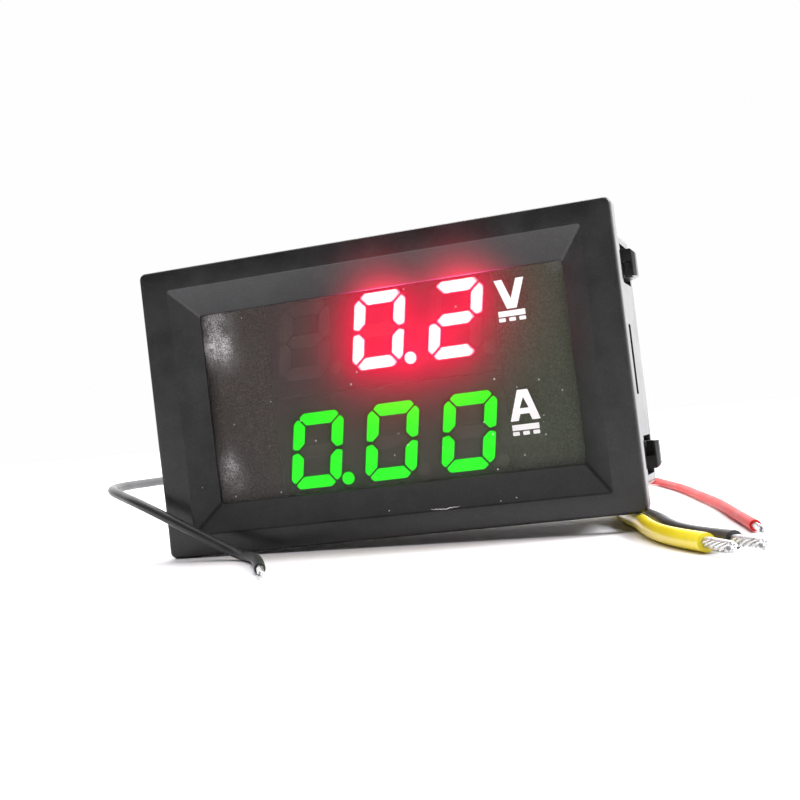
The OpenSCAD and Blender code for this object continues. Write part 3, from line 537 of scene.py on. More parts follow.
def make_sheath_finishes():
    """The leads' soft sheaths."""
    moulded("red_sheath", (0.6, 0.008, 0.008), (0.75, 0.014, 0.012), (0.42, 0.55), 2200, 0.004,
            Specular_IOR_Level=0.25)
    moulded("black_sheath", (0.012, 0.012, 0.013), (0.024, 0.024, 0.025), (0.35, 0.5), 2200,
            0.004, dust(1500.0, 0.04, 0.06, 0.2))
    moulded("yellow_sheath", (0.8, 0.62, 0.01), (0.92, 0.76, 0.02), (0.3, 0.42), 2200, 0.004,
            Coat_Weight=0.15)


def make_print_finishes():
    """Print on the window and the board, marks on the chips, and the bezel's scuffs and its
    painted corner highlight.
    """
    # the white print also glows a little by emission: painted light that brightens it
    moulded("print_white", (0.84, 0.82, 0.82), (0.92, 0.9, 0.9), (0.5, 0.6), 9000, 0.002,
            Emission_Color=(1.0, 0.95, 0.95), Emission_Strength=0.22)
    moulded("board_print", (0.72, 0.73, 0.68), (0.8, 0.8, 0.76), (0.5, 0.65), 9000, 0.003)
    moulded("chip_mark", (0.16, 0.16, 0.155), (0.24, 0.24, 0.23), (0.5, 0.6), 9000, 0.002)
    # its pale grey also paints a highlight at the bezel's top right corner
    moulded("scuff_grey", (0.55, 0.55, 0.53), (0.8, 0.8, 0.78), (0.6, 0.8), 9000, 0.01)


def make_metals():
    """Tinned copper, solder, the trimmers' brass and the shunt's drawn wire."""
    metal("tinned", (0.6, 0.6, 0.61), (0.82, 0.82, 0.83), (0.22, 0.4), 2600)
    metal("solder", (0.42, 0.42, 0.435), (0.66, 0.66, 0.67), (0.14, 0.34), 1400, 0.01)
    metal("brass", (0.45, 0.31, 0.12), (0.62, 0.45, 0.19), (0.25, 0.42), 3000)
    metal("shunt_metal", (0.5, 0.4, 0.32), (0.66, 0.56, 0.46), (0.3, 0.5), 900, 0.004,
          (1, 6, 6))


def make_board_finishes():
    """Solder mask over the board's copper, over its tracks and over its bare laminate, and
    the laminate's cut edge."""
    make_board_mask()
    moulded("mask_on_track", (0.016, 0.17, 0.058), (0.022, 0.2, 0.07), (0.22, 0.34), 4200,
            0.004, **MASK_COAT)
    moulded("mask_on_laminate", (0.003, 0.045, 0.017), (0.005, 0.058, 0.022), (0.26, 0.4),
            4200, 0.004, **MASK_COAT)
    moulded("laminate_edge", (0.34, 0.36, 0.2), (0.46, 0.47, 0.28), (0.6, 0.75), 6000, 0.01)


def make_board_mask():
    """Green solder mask over a copper plane: a fine weave and a faint mottle."""
    finish = Finish("board_mask", MASK_GREEN, 0.3, **MASK_COAT)
    grains = finish.group(GRAIN, Scale=4200.0, Mottle=260.0)
    color = finish.mix(
        finish.between(grains["Mottle"], 0.35, 0.65), (0.009, 0.115, 0.04), (0.013, 0.14, 0.048))
    settled = finish.group(DUST, **dust(800.0, 0.05, 0.06, 0.2))["Mask"]
    finish.to("Base Color", finish.mix(settled, color, (0.4, 0.42, 0.38)))
    finish.to("Roughness", finish.between(grains["Height"], 0.3, 0.7, 0.24, 0.4))
    finish.bump(grains["Height"], 0.006)


def make_lit_epoxy(name, core, edge, strength):
    """Lit epoxy: the colour goes from the core's to the edge's with the share kept in `rim`."""
    finish = Finish(name, edge, 0.4, Emission_Strength=strength)
    mottle = finish.between(finish.noise(2500), 0.3, 0.7, -0.04, 0.04)
    share = finish.math("ADD", finish.attribute("rim"), mottle, clamp=True)
    finish.to("Emission Color", finish.mix(finish.between(share, 0.84, 1.0), core, edge))


def add_painted_digit_glow(finish):
    """Painted light: the red digits' glow on the slope above them, as emission. At object point
    (x, z) it is the sum of exp(-((x - digit) / GLOW_W)^2), times exp(-(z - foot) / GLOW_H). It
    starts with a painted pink highlight line where the slope meets the window, and the bezel's
    back has none."""
    axes = finish.axes()
    foot = BEZEL_HALF[1] - SLOPE_FOOT[1]
    across = finish.total([
        finish.decay(finish.square(finish.share(axes["X"], digit, GLOW_W))) for digit in GLOW_X])
    rise = finish.math("MAXIMUM", finish.share(axes["Z"], foot, GLOW_H), 0.0)
    above = finish.between(axes["Z"], (foot - 0.2) * MM, (foot - 0.1) * MM)
    in_front = finish.between(axes["Y"], -0.1 * MM, -0.02 * MM, 1.0, 0.0)
    fall = finish.math("MULTIPLY", finish.math("MULTIPLY", finish.decay(rise), above), in_front)
    glow = finish.math("MULTIPLY", across, fall, clamp=True)
    at_foot = finish.between(axes["Z"], foot * MM, (foot + 0.1) * MM, 1.0, 0.0)
    red = finish.mix(glow, (0.0, 0.0, 0.0), GLOW_RED)
    finish.to("Emission Color", finish.mix(
        finish.math("MULTIPLY", at_foot, glow), red, GLOW_PINK))


def make_pane_front():
    """Tinted window, front: thin clear gloss with dust, and pale, rougher clouds near the left
    edge that cover what lies behind. A cloud's strength falls as exp(-dx^2 - dz^2)."""
    finish = Finish("pane_front", PANE_BLACK, 0.16, Specular_IOR_Level=0.5)
    axes = finish.axes()
    grain = finish.noise(7000, 3, 0.7)
    veil = finish.total([
        finish.math("MULTIPLY", finish.decay(finish.math(
            "ADD", finish.square(finish.share(axes["X"], x, wide)),
            finish.square(finish.share(axes["Z"], z, high)))), strength)
        for x, z, wide, high, strength in PALE_CLOUDS])
    patches = finish.between(finish.noise(900, 4, 0.65), 0.3, 0.72, 0.35, 1.0)
    speckle = finish.between(grain, 0.32, 0.68, 0.2, 1.0)
    veil = finish.math("MULTIPLY", finish.math("MULTIPLY", veil, patches), speckle, clamp=True)
    settled = finish.group(DUST, **dust(1400.0, 0.22, 0.13, 0.5))["Mask"]
    base = finish.mix(settled, PANE_BLACK, (0.5, 0.49, 0.47))
    finish.to("Base Color", finish.mix(veil, base, (0.92, 0.89, 0.89)))
    covered = finish.math("MAXIMUM", veil, settled)
    finish.to("Alpha", finish.math("ADD", covered, PANE_GLOSS, clamp=True))
    finish.to("Roughness", finish.between(veil, 0.0, 0.5, 0.14, 0.6))
    finish.bump(grain, 0.002)


def make_pane_back():
    """Tinted window, back. Attributes hold its tint, how much it covers, and the digits' glow
    painted on it as emission, in place of the light that it scatters."""
    finish = Finish("pane_back", (0.2, 0.17, 0.16), 0.7,
                    Emission_Strength=1.0, Specular_IOR_Level=0.0)
    grain = finish.between(finish.noise(5200, 4, 0.75), 0.4, 0.75, 0.0, 0.34)
    tint = finish.attribute("tint", "Color")
    finish.to("Base Color", finish.mix(grain, tint, (0.4, 0.42, 0.34)))
    finish.to("Alpha", finish.attribute("cover"))
    # emission: the digits' painted glow
    finish.to("Emission Color", finish.attribute("haze", "Color"))


def make_finishes():
    """Every finish, as a material that pieces ask for by its name."""
    make_case_finishes()
    make_component_finishes()
    make_sheath_finishes()
    make_print_finishes()
    make_metals()
    make_board_finishes()
    make_lit_epoxy("lit_red", (1.0, 0.44, 0.36), (1.0, 0.054, 0.135), 8.0)
    make_lit_epoxy("lit_green", (0.006, 1.0, 0.003), (0.003, 0.86, 0.003), 2.6)
    make_pane_front()
    make_pane_back()


# ---------------------------------------------------------------- digits

# the share of the gap between two mitred segments that lies along each axis
MITRE = 0.71
# the rounding of a segment's corners, and how far its edge stands out of the display's face
SEGMENT_ROUND, SEGMENT_PROUD = 0.17, 0.01
# a digit's point, in shares of its width and height from its middle
POINT_AT = (0.645, -0.42)


def segment_outline(i):
    """Corners of one segment of an upright digit, as the solids have them. Segments 2 to 5
    are the top one or the upper right one mirrored."""
    x, z, t, g, c = DIGIT_W / 2, DIGIT_H / 2, STROKE, MITRE * SEGMENT_GAP, CORNER_CUT
    top = [(-x + g + c, z), (x - g - c, z), (x - g - c / 2, z - c / 2),
           (x - g - t, z - t), (-x + g + t, z - t), (-x + g + c / 2, z - c / 2)]
    right = [(x, z - g - c), (x - c / 2, z - g - c / 2), (x - t, z - g - t),
             (x - t, t / 2 + g), (x - t / 2, g), (x, 0.8 * g + WAIST_CUT)]
    middle = [(-x + t / 2 + g, 0), (-x + t + g, t / 2), (x - t - g, t / 2),
              (x - t / 2 - g, 0), (x - t - g, -t / 2), (-x + t + g, -t / 2)]
    shape, sx, sz = {0: (top, 1, 1), 1: (right, 1, 1), 2: (right, 1, -1), 3: (top, 1, -1),
                     4: (right, -1, -1), 5: (right, -1, 1), 6: (middle, 1, 1)}[i]
    return np.array(shape) * (sx, sz)


def leaned(outline):
    """The outline slanted to the right: x + z tan(lean)."""
    outline = np.asarray(outline, float)
    return np.stack([outline[:, 0] + outline[:, 1] * LEAN, outline[:, 1]], -1)


def row_outlines(digits, point, row_z):
    """Rounded outlines (x, z) of the lit segments and of the lit point of a row."""
    outlines = []
    for k, digit in enumerate(digits):
        shift = (DISPLAY_X + (k - 1) * DIGIT_PITCH, row_z)
        for i in LIT[digit]:
            shape = rounded_line(segment_outline(i), [SEGMENT_ROUND] * 6, 4)
            outlines.append(leaned(shape) + shift)
        if k + 1 == point:
            middle = leaned([(POINT_AT[0] * DIGIT_W, POINT_AT[1] * DIGIT_H)])
            outlines.append(middle + circle(0, 0, POINT_D / 2, 24) + shift)
    return outlines


def domed(outline, y_face, rise=0.03, depth=0.12, rings=7, innermost=0.02):
    """A cushion over an outline: rings shrink from the outline (s = 1) to near its middle
    (s = 0) along p = m + (innermost + (1 - innermost) s) (o - m), and stand at
    y = face - rise (1 - s^4). Also gives each point's s."""
    outline = np.asarray(outline, float)
    middle = outline.mean(0)
    s = np.linspace(1, 0, rings)[:, None, None]
    flat = middle + (innermost + (1 - innermost) * s) * (outline - middle)
    y = np.broadcast_to(y_face - rise * (1 - s ** 4), flat.shape[:2] + (1,))
    top = np.concatenate([flat[..., :1], y, flat[..., 1:]], -1)
    skirt = top[:1] + (0, depth, 0)
    points = np.concatenate([skirt, top]).reshape(-1, 3)
    n = len(outline)
    faces = grid_faces(rings + 1, n, close_columns=True).tolist()
    faces.append(list(range(len(points) - n, len(points))))
    share = np.concatenate([np.ones(n), np.repeat(np.linspace(1, 0, rings), n)])
    return points, faces, share


def make_lit_row(name, node, outlines, finish, slot):
    """The lit segments of a row, raised a little from the display's face. `rim` keeps where a
    point lies between a segment's middle (0) and its outline (1)."""
    parts = [domed(outline, DISPLAY_Y - SEGMENT_PROUD) for outline in outlines]
    points, faces = merged([(p, f) for p, f, _ in parts])
    piece = mesh_piece(name, points, faces, finish, slot=slot, smooth=50)
    keep_on_points(piece, "rim", np.concatenate([share for _, _, share in parts]))
    recalculated(piece)
    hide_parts(node)


# ---------------------------------------------------------------- window

PANE_STEP = 0.25
# how much the pane's back hides over and beside the displays, and the stretches of x in which
# it goes from the one to the other
# beside the displays the back is nearly opaque and dark: painted shade for the dark inside of the
# housing
OVER_DISPLAYS, BESIDE_DISPLAYS = 0.45, 0.97
DISPLAYS_LEFT, DISPLAYS_RIGHT = (-12.5, -12.0), (11.3, 11.7)
# its tint at the left and at the right, where it changes, and the cover that it is given for
TINT_LEFT = np.array([0.48, 0.38, 0.36])
TINT_RIGHT = np.array([0.52, 0.6, 0.43])
TINT_CHANGE = (4.0, 15.0)
TINT_COVER = 0.25
# strength and reach of the glow painted on the pane round the digits as emission, and how much
# of the red one's goes to green and to blue
RED_HALO, RED_REACH = 0.0235, 1.55
GREEN_CORE, GREEN_CORE_REACH = 0.001, 0.5
GREEN_HALO, GREEN_HALO_REACH = 0.0005, 1.0
RED_TO_GREEN, RED_TO_BLUE = 0.004, 0.06
# how much that painted glow hides the tint
RED_DARKENS, GREEN_DARKENS, DARKEST = 1.3, 0.2, 0.92


def spread(x, z, outlines, reach, power):
    """The sum of exp(-(|p - q| / reach)^power) at window points p, for samples q on the lit
    segments."""
    q = np.concatenate([
        outline.mean(0) + s * (outline[::2] - outline.mean(0))
        for outline in outlines for s in (0.25, 0.6, 0.95)])
    d = np.hypot(x[:, None] - q[:, 0], z[:, None] - q[:, 1])
    return np.exp(-(d / reach) ** power).sum(1)


def step(x, low, high):
    """3 t^2 - 2 t^3, where t goes from 0 to 1 as x goes from low to high."""
    t = np.clip((x - low) / (high - low), 0, 1)
    return t * t * (3 - 2 * t)


def window_looks(x, z):
    """Tint, cover and the digits' painted glow at window points. The tint is browner at the left
    and greener at the right, darkens under the painted glow, and covers most beside the displays,
    where it is painted shade."""
    volts = row_outlines(VOLTS_DIGITS, VOLTS_POINT, VOLTS_Z)
    amps = row_outlines(AMPS_DIGITS, AMPS_POINT, AMPS_Z)
    red = RED_HALO * spread(x, z, volts, RED_REACH, 1)
    green_near = spread(x, z, amps, GREEN_CORE_REACH, 2)
    green = GREEN_CORE * green_near + GREEN_HALO * spread(x, z, amps, GREEN_HALO_REACH, 1)
    # the digits' glow, painted as a colour for emission
    haze = np.stack(
        [red, RED_TO_GREEN * red + green, RED_TO_BLUE * red, np.zeros_like(red)], -1)
    # painted shade: the pane covers nearly all beside the displays
    beside = 1 - step(x, *DISPLAYS_LEFT) * (1 - step(x, *DISPLAYS_RIGHT))
    cover = OVER_DISPLAYS + (BESIDE_DISPLAYS - OVER_DISPLAYS) * beside
    tint = TINT_LEFT + (TINT_RIGHT - TINT_LEFT) * step(x, *TINT_CHANGE)[:, None]
    tint = tint * (TINT_COVER / cover)[:, None]
    dark = np.clip(RED_DARKENS * red + GREEN_DARKENS * green_near, 0, 1)[:, None]
    tint = tint * (1 - DARKEST * dark)
    return (np.concatenate([tint, np.ones_like(dark)], 1), cover,
            haze / ((1 - PANE_GLOSS) * cover)[:, None])


def make_window():
    """The window, closed: a fine grid at the back and one at the front, joined by four sides."""
    half_w, half_h = WINDOW_HALF
    xs = np.linspace(-half_w, half_w, int(2 * half_w / PANE_STEP) + 1)
    zs = np.linspace(-half_h, half_h, int(2 * half_h / PANE_STEP) + 1)
    x, z = (v.ravel() for v in np.meshgrid(xs, zs, indexing="ij"))
    back = np.stack([x, np.full_like(x, WINDOW_BACK), z], -1)
    front = back - (0, WINDOW_BACK - WINDOW_FRONT, 0)
    grid = grid_faces(len(xs), len(zs))
    number = np.arange(len(x)).reshape(len(xs), len(zs))
    edge = np.concatenate([number[:-1, 0], number[-1, :-1], number[:0:-1, -1], number[0, :0:-1]])
    after = np.roll(edge, -1)
    sides = np.stack([edge, after, after + len(x), edge + len(x)], -1)
    faces = np.concatenate([grid + len(x), grid[:, ::-1], sides])
    pane = mesh_piece("window_pane", np.concatenate([back, front]), faces.tolist(),
                      "pane_front", "pane_back", slot="tinted_window", smooth=20)
    recalculated(pane)
    is_front = np.arange(len(faces)) < len(grid)
    pane.data.polygons.foreach_set("material_index", np.where(is_front, 0, 1))
    for name, values in zip(("tint", "cover", "haze"), window_looks(x, z)):
        keep_on_points(pane, name, np.concatenate([values, values]))
    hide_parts("display_window")


# ---------------------------------------------------------------- print on the window

PRINT_Y = (0.0, 0.03)
# the letters' left edge, middle and right edge
LETTER_X = (11.9, 13.36, 14.8)
# stroke of the V, half the width of its foot, and how high its inner corner is
V_STROKE, V_FOOT, V_INNER = 0.78, 0.47, 0.95
V_HEIGHTS, A_HEIGHTS = (8.6, 5.8), (-1.94, -4.85)
# the tops of the signs for direct current, and their left and right
SIGN_TOPS, SIGN_X = (5.62, -5.21), (12.0, 14.6)
# height of a sign's bar, and how far the tops of its dashes lie below the bar's
BAR_H, DASH_DROP = 0.54, 0.66
DASH_W, DASH_H, DASH_PITCH, DASH_ROUND = 0.64, 0.36, 0.98, 0.1


def letter_v(top, bottom):
    """The V, in one outline."""
    left, mid, right = LETTER_X
    return [[(mid - V_FOOT, bottom), (mid + V_FOOT, bottom), (right, top),
             (right - V_STROKE, top), (mid, bottom + V_INNER), (left + V_STROKE, top),
             (left, top)]]


def letter_a(top, bottom):
    """The A, in two halves that meet above and below its eye and leave the eye open."""
    mid = LETTER_X[1]
    halves = []
    for side in (-1, 1):
        half = [(mid, top), (mid + side * 0.5, top), (mid + side * 1.44, bottom),
                (mid + side * 0.66, bottom), (mid + side * 0.44, bottom + 0.62),
                (mid, bottom + 0.62), (mid, bottom + 1.16), (mid + side * 0.44, bottom + 1.16),
                (mid, bottom + 2.2)]
        halves.append(half if side < 0 else half[::-1])
    return halves


def direct_current_sign(top):
    """A bar over three dashes with rounded corners."""
    left, right = SIGN_X
    shapes = [rectangle(left, right, top - BAR_H, top)]
    for k in range(3):
        x, z = left + DASH_PITCH * k, top - DASH_DROP
        dash = rectangle(x, x + DASH_W, z - DASH_H, z)
        shapes.append(rounded_line(dash, [DASH_ROUND] * 4, 4))
    return shapes


def make_unit_marks():
    """White print on the window: V and A, each over the sign for direct current."""
    shapes = [*letter_v(*V_HEIGHTS), *direct_current_sign(SIGN_TOPS[0]),
              *letter_a(*A_HEIGHTS), *direct_current_sign(SIGN_TOPS[1])]
    points, faces = merged([prism(shape, *PRINT_Y) for shape in shapes])
    recalculated(mesh_piece("unit_marks", points, faces, "print_white", smooth=20))


# ---------------------------------------------------------------- housing

# how far the bezel's skin reaches in past the opening of the solid one
SKIN_LAP = 0.02
# the depth at which the body is cut off the solid bezel, and where its cut edge then goes
BODY_CUT, BODY_TUCK = 0.05, -0.15
BODY_ROUND = 0.1
# roundings of the bezel's profile, from the opening's back edge over the slope's foot, the
# rim's inner edge and the outer front edge to the outer back edge
PROFILE_ROUNDS = (0.05, 0.1, 0.14, 0.5, 0.12)
OPENING_CORNER_R = 0.3


def make_bezel():
    """The bezel's skin: one closed profile carried round the rectangle. A profile point at
    inset (ix, iz) and depth y makes a ring with half sizes (24 - ix, 14.5 - iz), whose corner
    radius falls from the bezel's own to a small one as the inset grows."""
    foot = (SLOPE_FOOT[0] + SKIN_LAP, SLOPE_FOOT[1] + SKIN_LAP)
    profile = rounded_line(
        [(*foot, 0.0), (*foot, FOOT_Y), (*RIM, FRONT_Y), (0, 0, FRONT_Y), (0, 0, 0)],
        PROFILE_ROUNDS, 7)
    inset = profile[:, :2]
    radius = np.maximum(CORNER_R - inset.max(1), OPENING_CORNER_R)
    points, columns = rings_to_points(
        BEZEL_HALF[0] - inset[:, 0], BEZEL_HALF[1] - inset[:, 1], radius, profile[:, 2])
    faces = grid_faces(len(profile), columns, close_rows=True, close_columns=True)
    recalculated(mesh_piece("housing_bezel", points, faces, "bezel_moulding",
                            slot="housing_black", smooth=35))


def keep_body(bm):
    """Cuts the solid bezel off the housing and pushes the cut edge forward into the skin."""
    level = BODY_CUT * MM
    bmesh.ops.bisect_plane(bm, geom=bm.verts[:] + bm.edges[:] + bm.faces[:],
                           plane_co=(0, level, 0), plane_no=(0, 1, 0), clear_inner=True)
    bmesh.ops.bridge_loops(bm, edges=[e for e in bm.edges if e.is_boundary])
    for vert in bm.verts:
        if abs(vert.co.y - level) < 1e-6:
            vert.co.y = BODY_TUCK * MM
    bmesh.ops.recalc_face_normals(bm, faces=bm.faces)


def make_housing():
    """The body and the bezel's skin, each a piece of its own."""
    softened("housing", "black_moulding", BODY_ROUND,
             name="housing_body", cut=keep_body)
    make_bezel()


def on_slope(x, depth_share):
    """A point on the lower slope: share 0 at the rim's edge and 1 at the window."""
    z = -(BEZEL_HALF[1] - (RIM[1] + depth_share * (SLOPE_FOOT[1] - RIM[1])))
    y = FRONT_Y + depth_share * (FOOT_Y - FRONT_Y)
    return np.array([x, y, z])


# the scratch's stretch of x, its thickness and its place on the slope
SCRATCH_X, SCRATCH_R, SCRATCH_SHARE = (3.7, 6.5), 0.055, 0.05
# centre and size of each nick, and of the two pale marks at the top right corner, which are a
# painted highlight on the corner
NICKS_AND_HIGHLIGHT = [
    (*on_slope(-0.5, 0.16), 0.07), (*on_slope(10.5, 0.1), 0.07), (*on_slope(12.0, 0.16), 0.08),
    # the first two here, at the top right corner, are a painted highlight
    (23.45, -2.02, 14.12, 0.1), (22.35, -2.12, 14.02, 0.06), (-15.0, -1.82, 14.38, 0.07),
]


def make_marks_of_use():
    """A pale scratch along the foot of the lower rim, a few nicks, and two pale marks at the top
    right corner that are a painted highlight, all as thin raised burrs.
    The scratch wanders by a slow sine and a random step, and thins as sin(pi t)^0.6 to both
    its ends."""
    rng = np.random.default_rng(7)
    x = np.linspace(*SCRATCH_X, 36)
    path = np.stack([on_slope(v, SCRATCH_SHARE) for v in x])
    wander = 0.05 * np.sin(2.3 * x) + 0.035 * rng.standard_normal(len(x))
    path[:, 2] += wander
    path[:, 1] += -0.015 + wander * (FOOT_Y - FRONT_Y) / (SLOPE_FOOT[1] - RIM[1])
    thin = np.sin(np.pi * np.linspace(0.04, 0.96, len(x))) ** 0.6
    parts = [swept(path, SCRATCH_R * thin * (0.8 + 0.4 * rng.random(len(x))), 6)]
    for middle, y, z, size in NICKS_AND_HIGHLIGHT:
        spot = [(middle + share * size, y, z) for share in (-1, -0.4, 0.4, 1)]
        parts.append(swept(spot, np.array([0.3, 0.8, 0.8, 0.3]) * size, 6))
    points, faces = merged(parts)
    recalculated(mesh_piece("bezel_scuffs_and_highlight", points, faces, "scuff_grey"))


# ---------------------------------------------------------------- board

DISPLAY_PINS_X = [DISPLAY_X + 2.54 * (k - 2.5) for k in range(6)]
DISPLAY_PINS_Z = (9.8, 1.6, -1.2, -9.4)
RESISTORS_Z = (-8.8, -6.5, -4.2, -1.9, 0.4, 2.7)
CHIP_PINS_X = [-6.325 + 0.65 * k for k in range(10)]
# widths of a track, of the gap beside it and of a printed line
TRACK_W, GAP_W, LINE_W = 0.28, 0.2, 0.14
# radii of the gap round a display's pin, of a via and of its bare middle
PIN_GAP_R, VIA_R, VIA_BARE_R = 0.95, 0.42, 0.24
# how far the gaps, tracks, pads and printed lines stand out of the board, and marks out of a
# chip, and how deep all of them reach into what carries them
GAP_RISE, TRACK_RISE, PAD_RISE, LINE_RISE, MARK_RISE = 0.006, 0.016, 0.03, 0.024, 0.008
SUNK = 0.02
# corners (x, z) of the tracks on the board's back
TRACKS = [
    [(-15.8, 3.2), (-14.2, 3.2), (-13.7, 2.7), (-11.8, 2.7)],
    [(-15.8, 8.4), (-14.0, 8.4), (-13.13, 7.53), (-11.8, 7.53)],
    [(-15.1, 0.2), (-13.6, 0.2), (-13.4, 0.4), (-11.8, 0.4)],
    [(-14.0, -4.2), (-11.8, -4.2)],
    [(-14.0, -6.5), (-11.8, -6.5)],
    [(-9.4, -6.5), (-8.6, -6.5), (-8.2, -6.9), (-8.2, -8.4), (-7.7, -8.9), (-7.11, -8.9),
     (-7.11, -8.2)],
    [(-9.4, -4.2), (-8.7, -3.5), (-8.7, -2.4), (-8.3, -2.0), (-7.5, -2.0), (-7.11, -2.4)],
    [(-9.4, -1.9), (-9.4, -0.6), (-8.4, 0.4), (-9.4, 0.4)],
    [(-9.4, 2.7), (-8.6, 2.7), (-8.0, 3.3), (-8.0, 9.2), (-7.4, 9.8), (-6.71, 9.8)],
    [(-9.4, 5.23), (-8.7, 5.23), (-8.7, 10.3), (-8.2, 10.8), (-5.0, 10.8), (-4.17, 9.97)],
    *[[(x, 2.45), (x, 2.1), (pin, 1.8), (pin, 1.6)] for x, pin in (
        (CHIP_PINS_X[2], DISPLAY_PINS_X[1]), (CHIP_PINS_X[6], DISPLAY_PINS_X[2]))],
    [(CHIP_PINS_X[4], 8.9), (CHIP_PINS_X[4], 9.25), (-3.77, 9.5)],
    [(CHIP_PINS_X[8], 8.9), (CHIP_PINS_X[8], 9.45), (-1.63, 9.8)],
    [(CHIP_PINS_X[9], 2.5), (CHIP_PINS_X[9], 2.2), (0.0, 1.6), (0.91, 1.6)],
    [(-6.71, 1.6), (-7.6, 0.7), (-7.6, -0.3), (-6.71, -1.2)],
    [(-4.17, 1.6), (-4.17, -1.2)],
    [(0.91, 1.6), (0.91, -1.2)],
    [(3.45, 1.6), (4.6, 0.45), (4.6, -0.05), (3.45, -1.2)],
    [(5.99, 1.6), (5.99, -1.2)],
    [(0.91, 9.8), (2.0, 8.7), (2.0, 6.1), (2.5, 5.7)],
    [(5.99, 9.8), (7.4, 8.4), (9.6, 8.4), (10.4, 7.6), (10.4, 4.7), (11.9, 4.0)],
    [(7.4, 5.7), (8.6, 5.7), (9.2, 5.1), (9.2, -3.1), (8.6, -3.7), (7.6, -3.7), (7.1, -3.2)],
    [(5.0, -5.3), (4.6, -5.7), (4.6, -8.2), (3.45, -9.4)],
    [(5.0, -7.5), (5.3, -8.6), (5.99, -9.4)],
    [(0.3, -7.1), (0.3, -8.0), (-0.4, -8.6), (-1.63, -9.4)],
    [(3.3, -7.1), (3.3, -7.9), (1.4, -8.9), (0.91, -9.4)],
    [(-3.29, -8.2), (-3.29, -8.7), (-4.17, -9.4)],
    [(9.9, -9.5), (11.0, -9.5), (12.6, -7.9), (12.6, -4.0), (14.0, -4.0)],
    [(11.2, 0.0), (10.5, 0.0), (10.5, -5.6), (9.8, -6.3), (7.4, -6.3), (6.9, -5.6)],
    [(-9.4, -8.8), (-8.6, -9.6), (-8.2, -10.4), (7.4, -10.4), (8.3, -9.5)],
]
# left, right, bottom and top of the outlines printed on the board round its parts
PRINTED = [
    (-20.25, -13.75, -9.3, -1.1), (11.35, 19.85, -6.35, 6.35), (-19.3, -14.7, 0.55, 5.65),
    (-19.3, -14.7, 6.05, 10.95), (-12.0, -9.2, 4.3, 8.45), (2.0, 8.0, 4.05, 7.35),
    (-8.0, -2.4, -7.05, -3.55), (-0.75, 4.35, -6.6, -3.6),
]
# pads (centre x, centre z, width, height) that the small parts are soldered to
PADS = [
    *[(x, z, 0.4, 1.1) for x in CHIP_PINS_X for z in (2.75, 8.65)],
    *[(-7.11 + 1.275 * k, z, 0.62, 1.1) for k in range(4) for z in (-2.55, -8.05)],
    *[(x, z, 1.0, 1.5) for z in (*RESISTORS_Z, 5.23, 7.53) for x in (-11.4, -9.8)],
    *[(x, z, 1.0, 1.5) for z in (-7.5, -5.3, -3.1) for x in (5.1, 6.7)],
    *[(x, -9.5, 1.0, 1.6) for x in (8.4, 10.0)],
    (2.7, 5.7, 1.9, 2.0), (7.4, 5.7, 1.6, 2.0),
    (1.8, -3.0, 2.3, 1.5), (0.3, -6.95, 0.8, 1.3), (1.8, -6.95, 0.8, 1.3), (3.3, -6.95, 0.8, 1.3),
]
VIAS = [
    (-13.1, -1.9), (-12.6, -9.9), (8.1, 1.2), (7.9, -1.4), (10.2, 9.6), (-8.4, 0.4),
    (2.6, -0.3), (8.6, 9.8), (20.9, -8.6), (20.3, -10.2), (13.4, -9.6), (17.2, -9.4),
    (-20.9, 0.0), (-21.2, -10.4),
]


def ribbon(route, width):
    """Outline of a flat track. Where two stretches with the normals m and n meet, its edges
    stand off by w / 2 (m + n) / (1 + m . n)."""
    p = np.asarray(route, float)
    way = np.diff(p, axis=0)
    way /= np.linalg.norm(way, axis=1, keepdims=True)
    normal = np.stack([-way[:, 1], way[:, 0]], -1)
    m, n = np.concatenate([normal[:1], normal]), np.concatenate([normal, normal[-1:]])
    off = width / 2 * (m + n) / (1 + (m * n).sum(1, keepdims=True))
    return np.concatenate([p + off, (p - off)[::-1]])


def centred(x, z, wide, high):
    """A rectangle round its centre."""
    return rectangle(x - wide / 2, x + wide / 2, z - high / 2, z + high / 2)


# outline and face of the marks at the chips' first pins, and of the diode's band
CHIP_MARKS = [
    (circle(-6.1, 4.1, 0.28), 12.1), (circle(-7.1, -6.7, 0.3), 12.4),
    (centred(6.35, 5.7, 0.55, 2.5), 13.1),
]


def flat_piece(name, shapes, rise, finish):
    """Flat shapes, each an outline and the depth of the face that it stands on."""
    points, faces = merged([prism(outline, y - SUNK, y + rise) for outline, y in shapes])
    recalculated(mesh_piece(name, points, faces, finish, smooth=20))


def on_board(name, outlines, rise, finish):
    """Flat shapes on the board's back."""
    flat_piece(name, [(outline, BOARD_BACK) for outline in outlines], rise, finish)


def make_board_details():
    """Gaps in the copper and tracks under the mask, bare pads, printed outlines, and the marks
    on the chips."""
    gaps = [ribbon(track, TRACK_W + 2 * GAP_W) for track in TRACKS]
    gaps += [circle(x, z, PIN_GAP_R) for x in DISPLAY_PINS_X for z in DISPLAY_PINS_Z]
    gaps += [circle(x, z, VIA_R + GAP_W) for x, z in VIAS]
    gaps += [centred(x, z, wide + 2 * GAP_W, high + 2 * GAP_W) for x, z, wide, high in PADS]
    on_board("board_gaps", gaps, GAP_RISE, "mask_on_laminate")
    tracks = [ribbon(track, TRACK_W) for track in TRACKS]
    tracks += [circle(x, z, VIA_R) for x, z in VIAS]
    on_board("board_tracks", tracks, TRACK_RISE, "mask_on_track")
    pads = [centred(*pad) for pad in PADS]
    pads += [circle(x, z, VIA_BARE_R, 12) for x, z in VIAS]
    on_board("board_pads", pads, PAD_RISE, "solder")
    lines = []
    for left, right, low, high in PRINTED:
        lines += [ribbon([(left - LINE_W / 2, z), (right + LINE_W / 2, z)], LINE_W)
                  for z in (low, high)]
        lines += [ribbon([(x, low), (x, high)], LINE_W) for x in (left, right)]
    on_board("board_print", lines, LINE_RISE, "board_print")
    flat_piece("chip_marks", CHIP_MARKS, MARK_RISE, "chip_mark")


# ---------------------------------------------------------------- leads

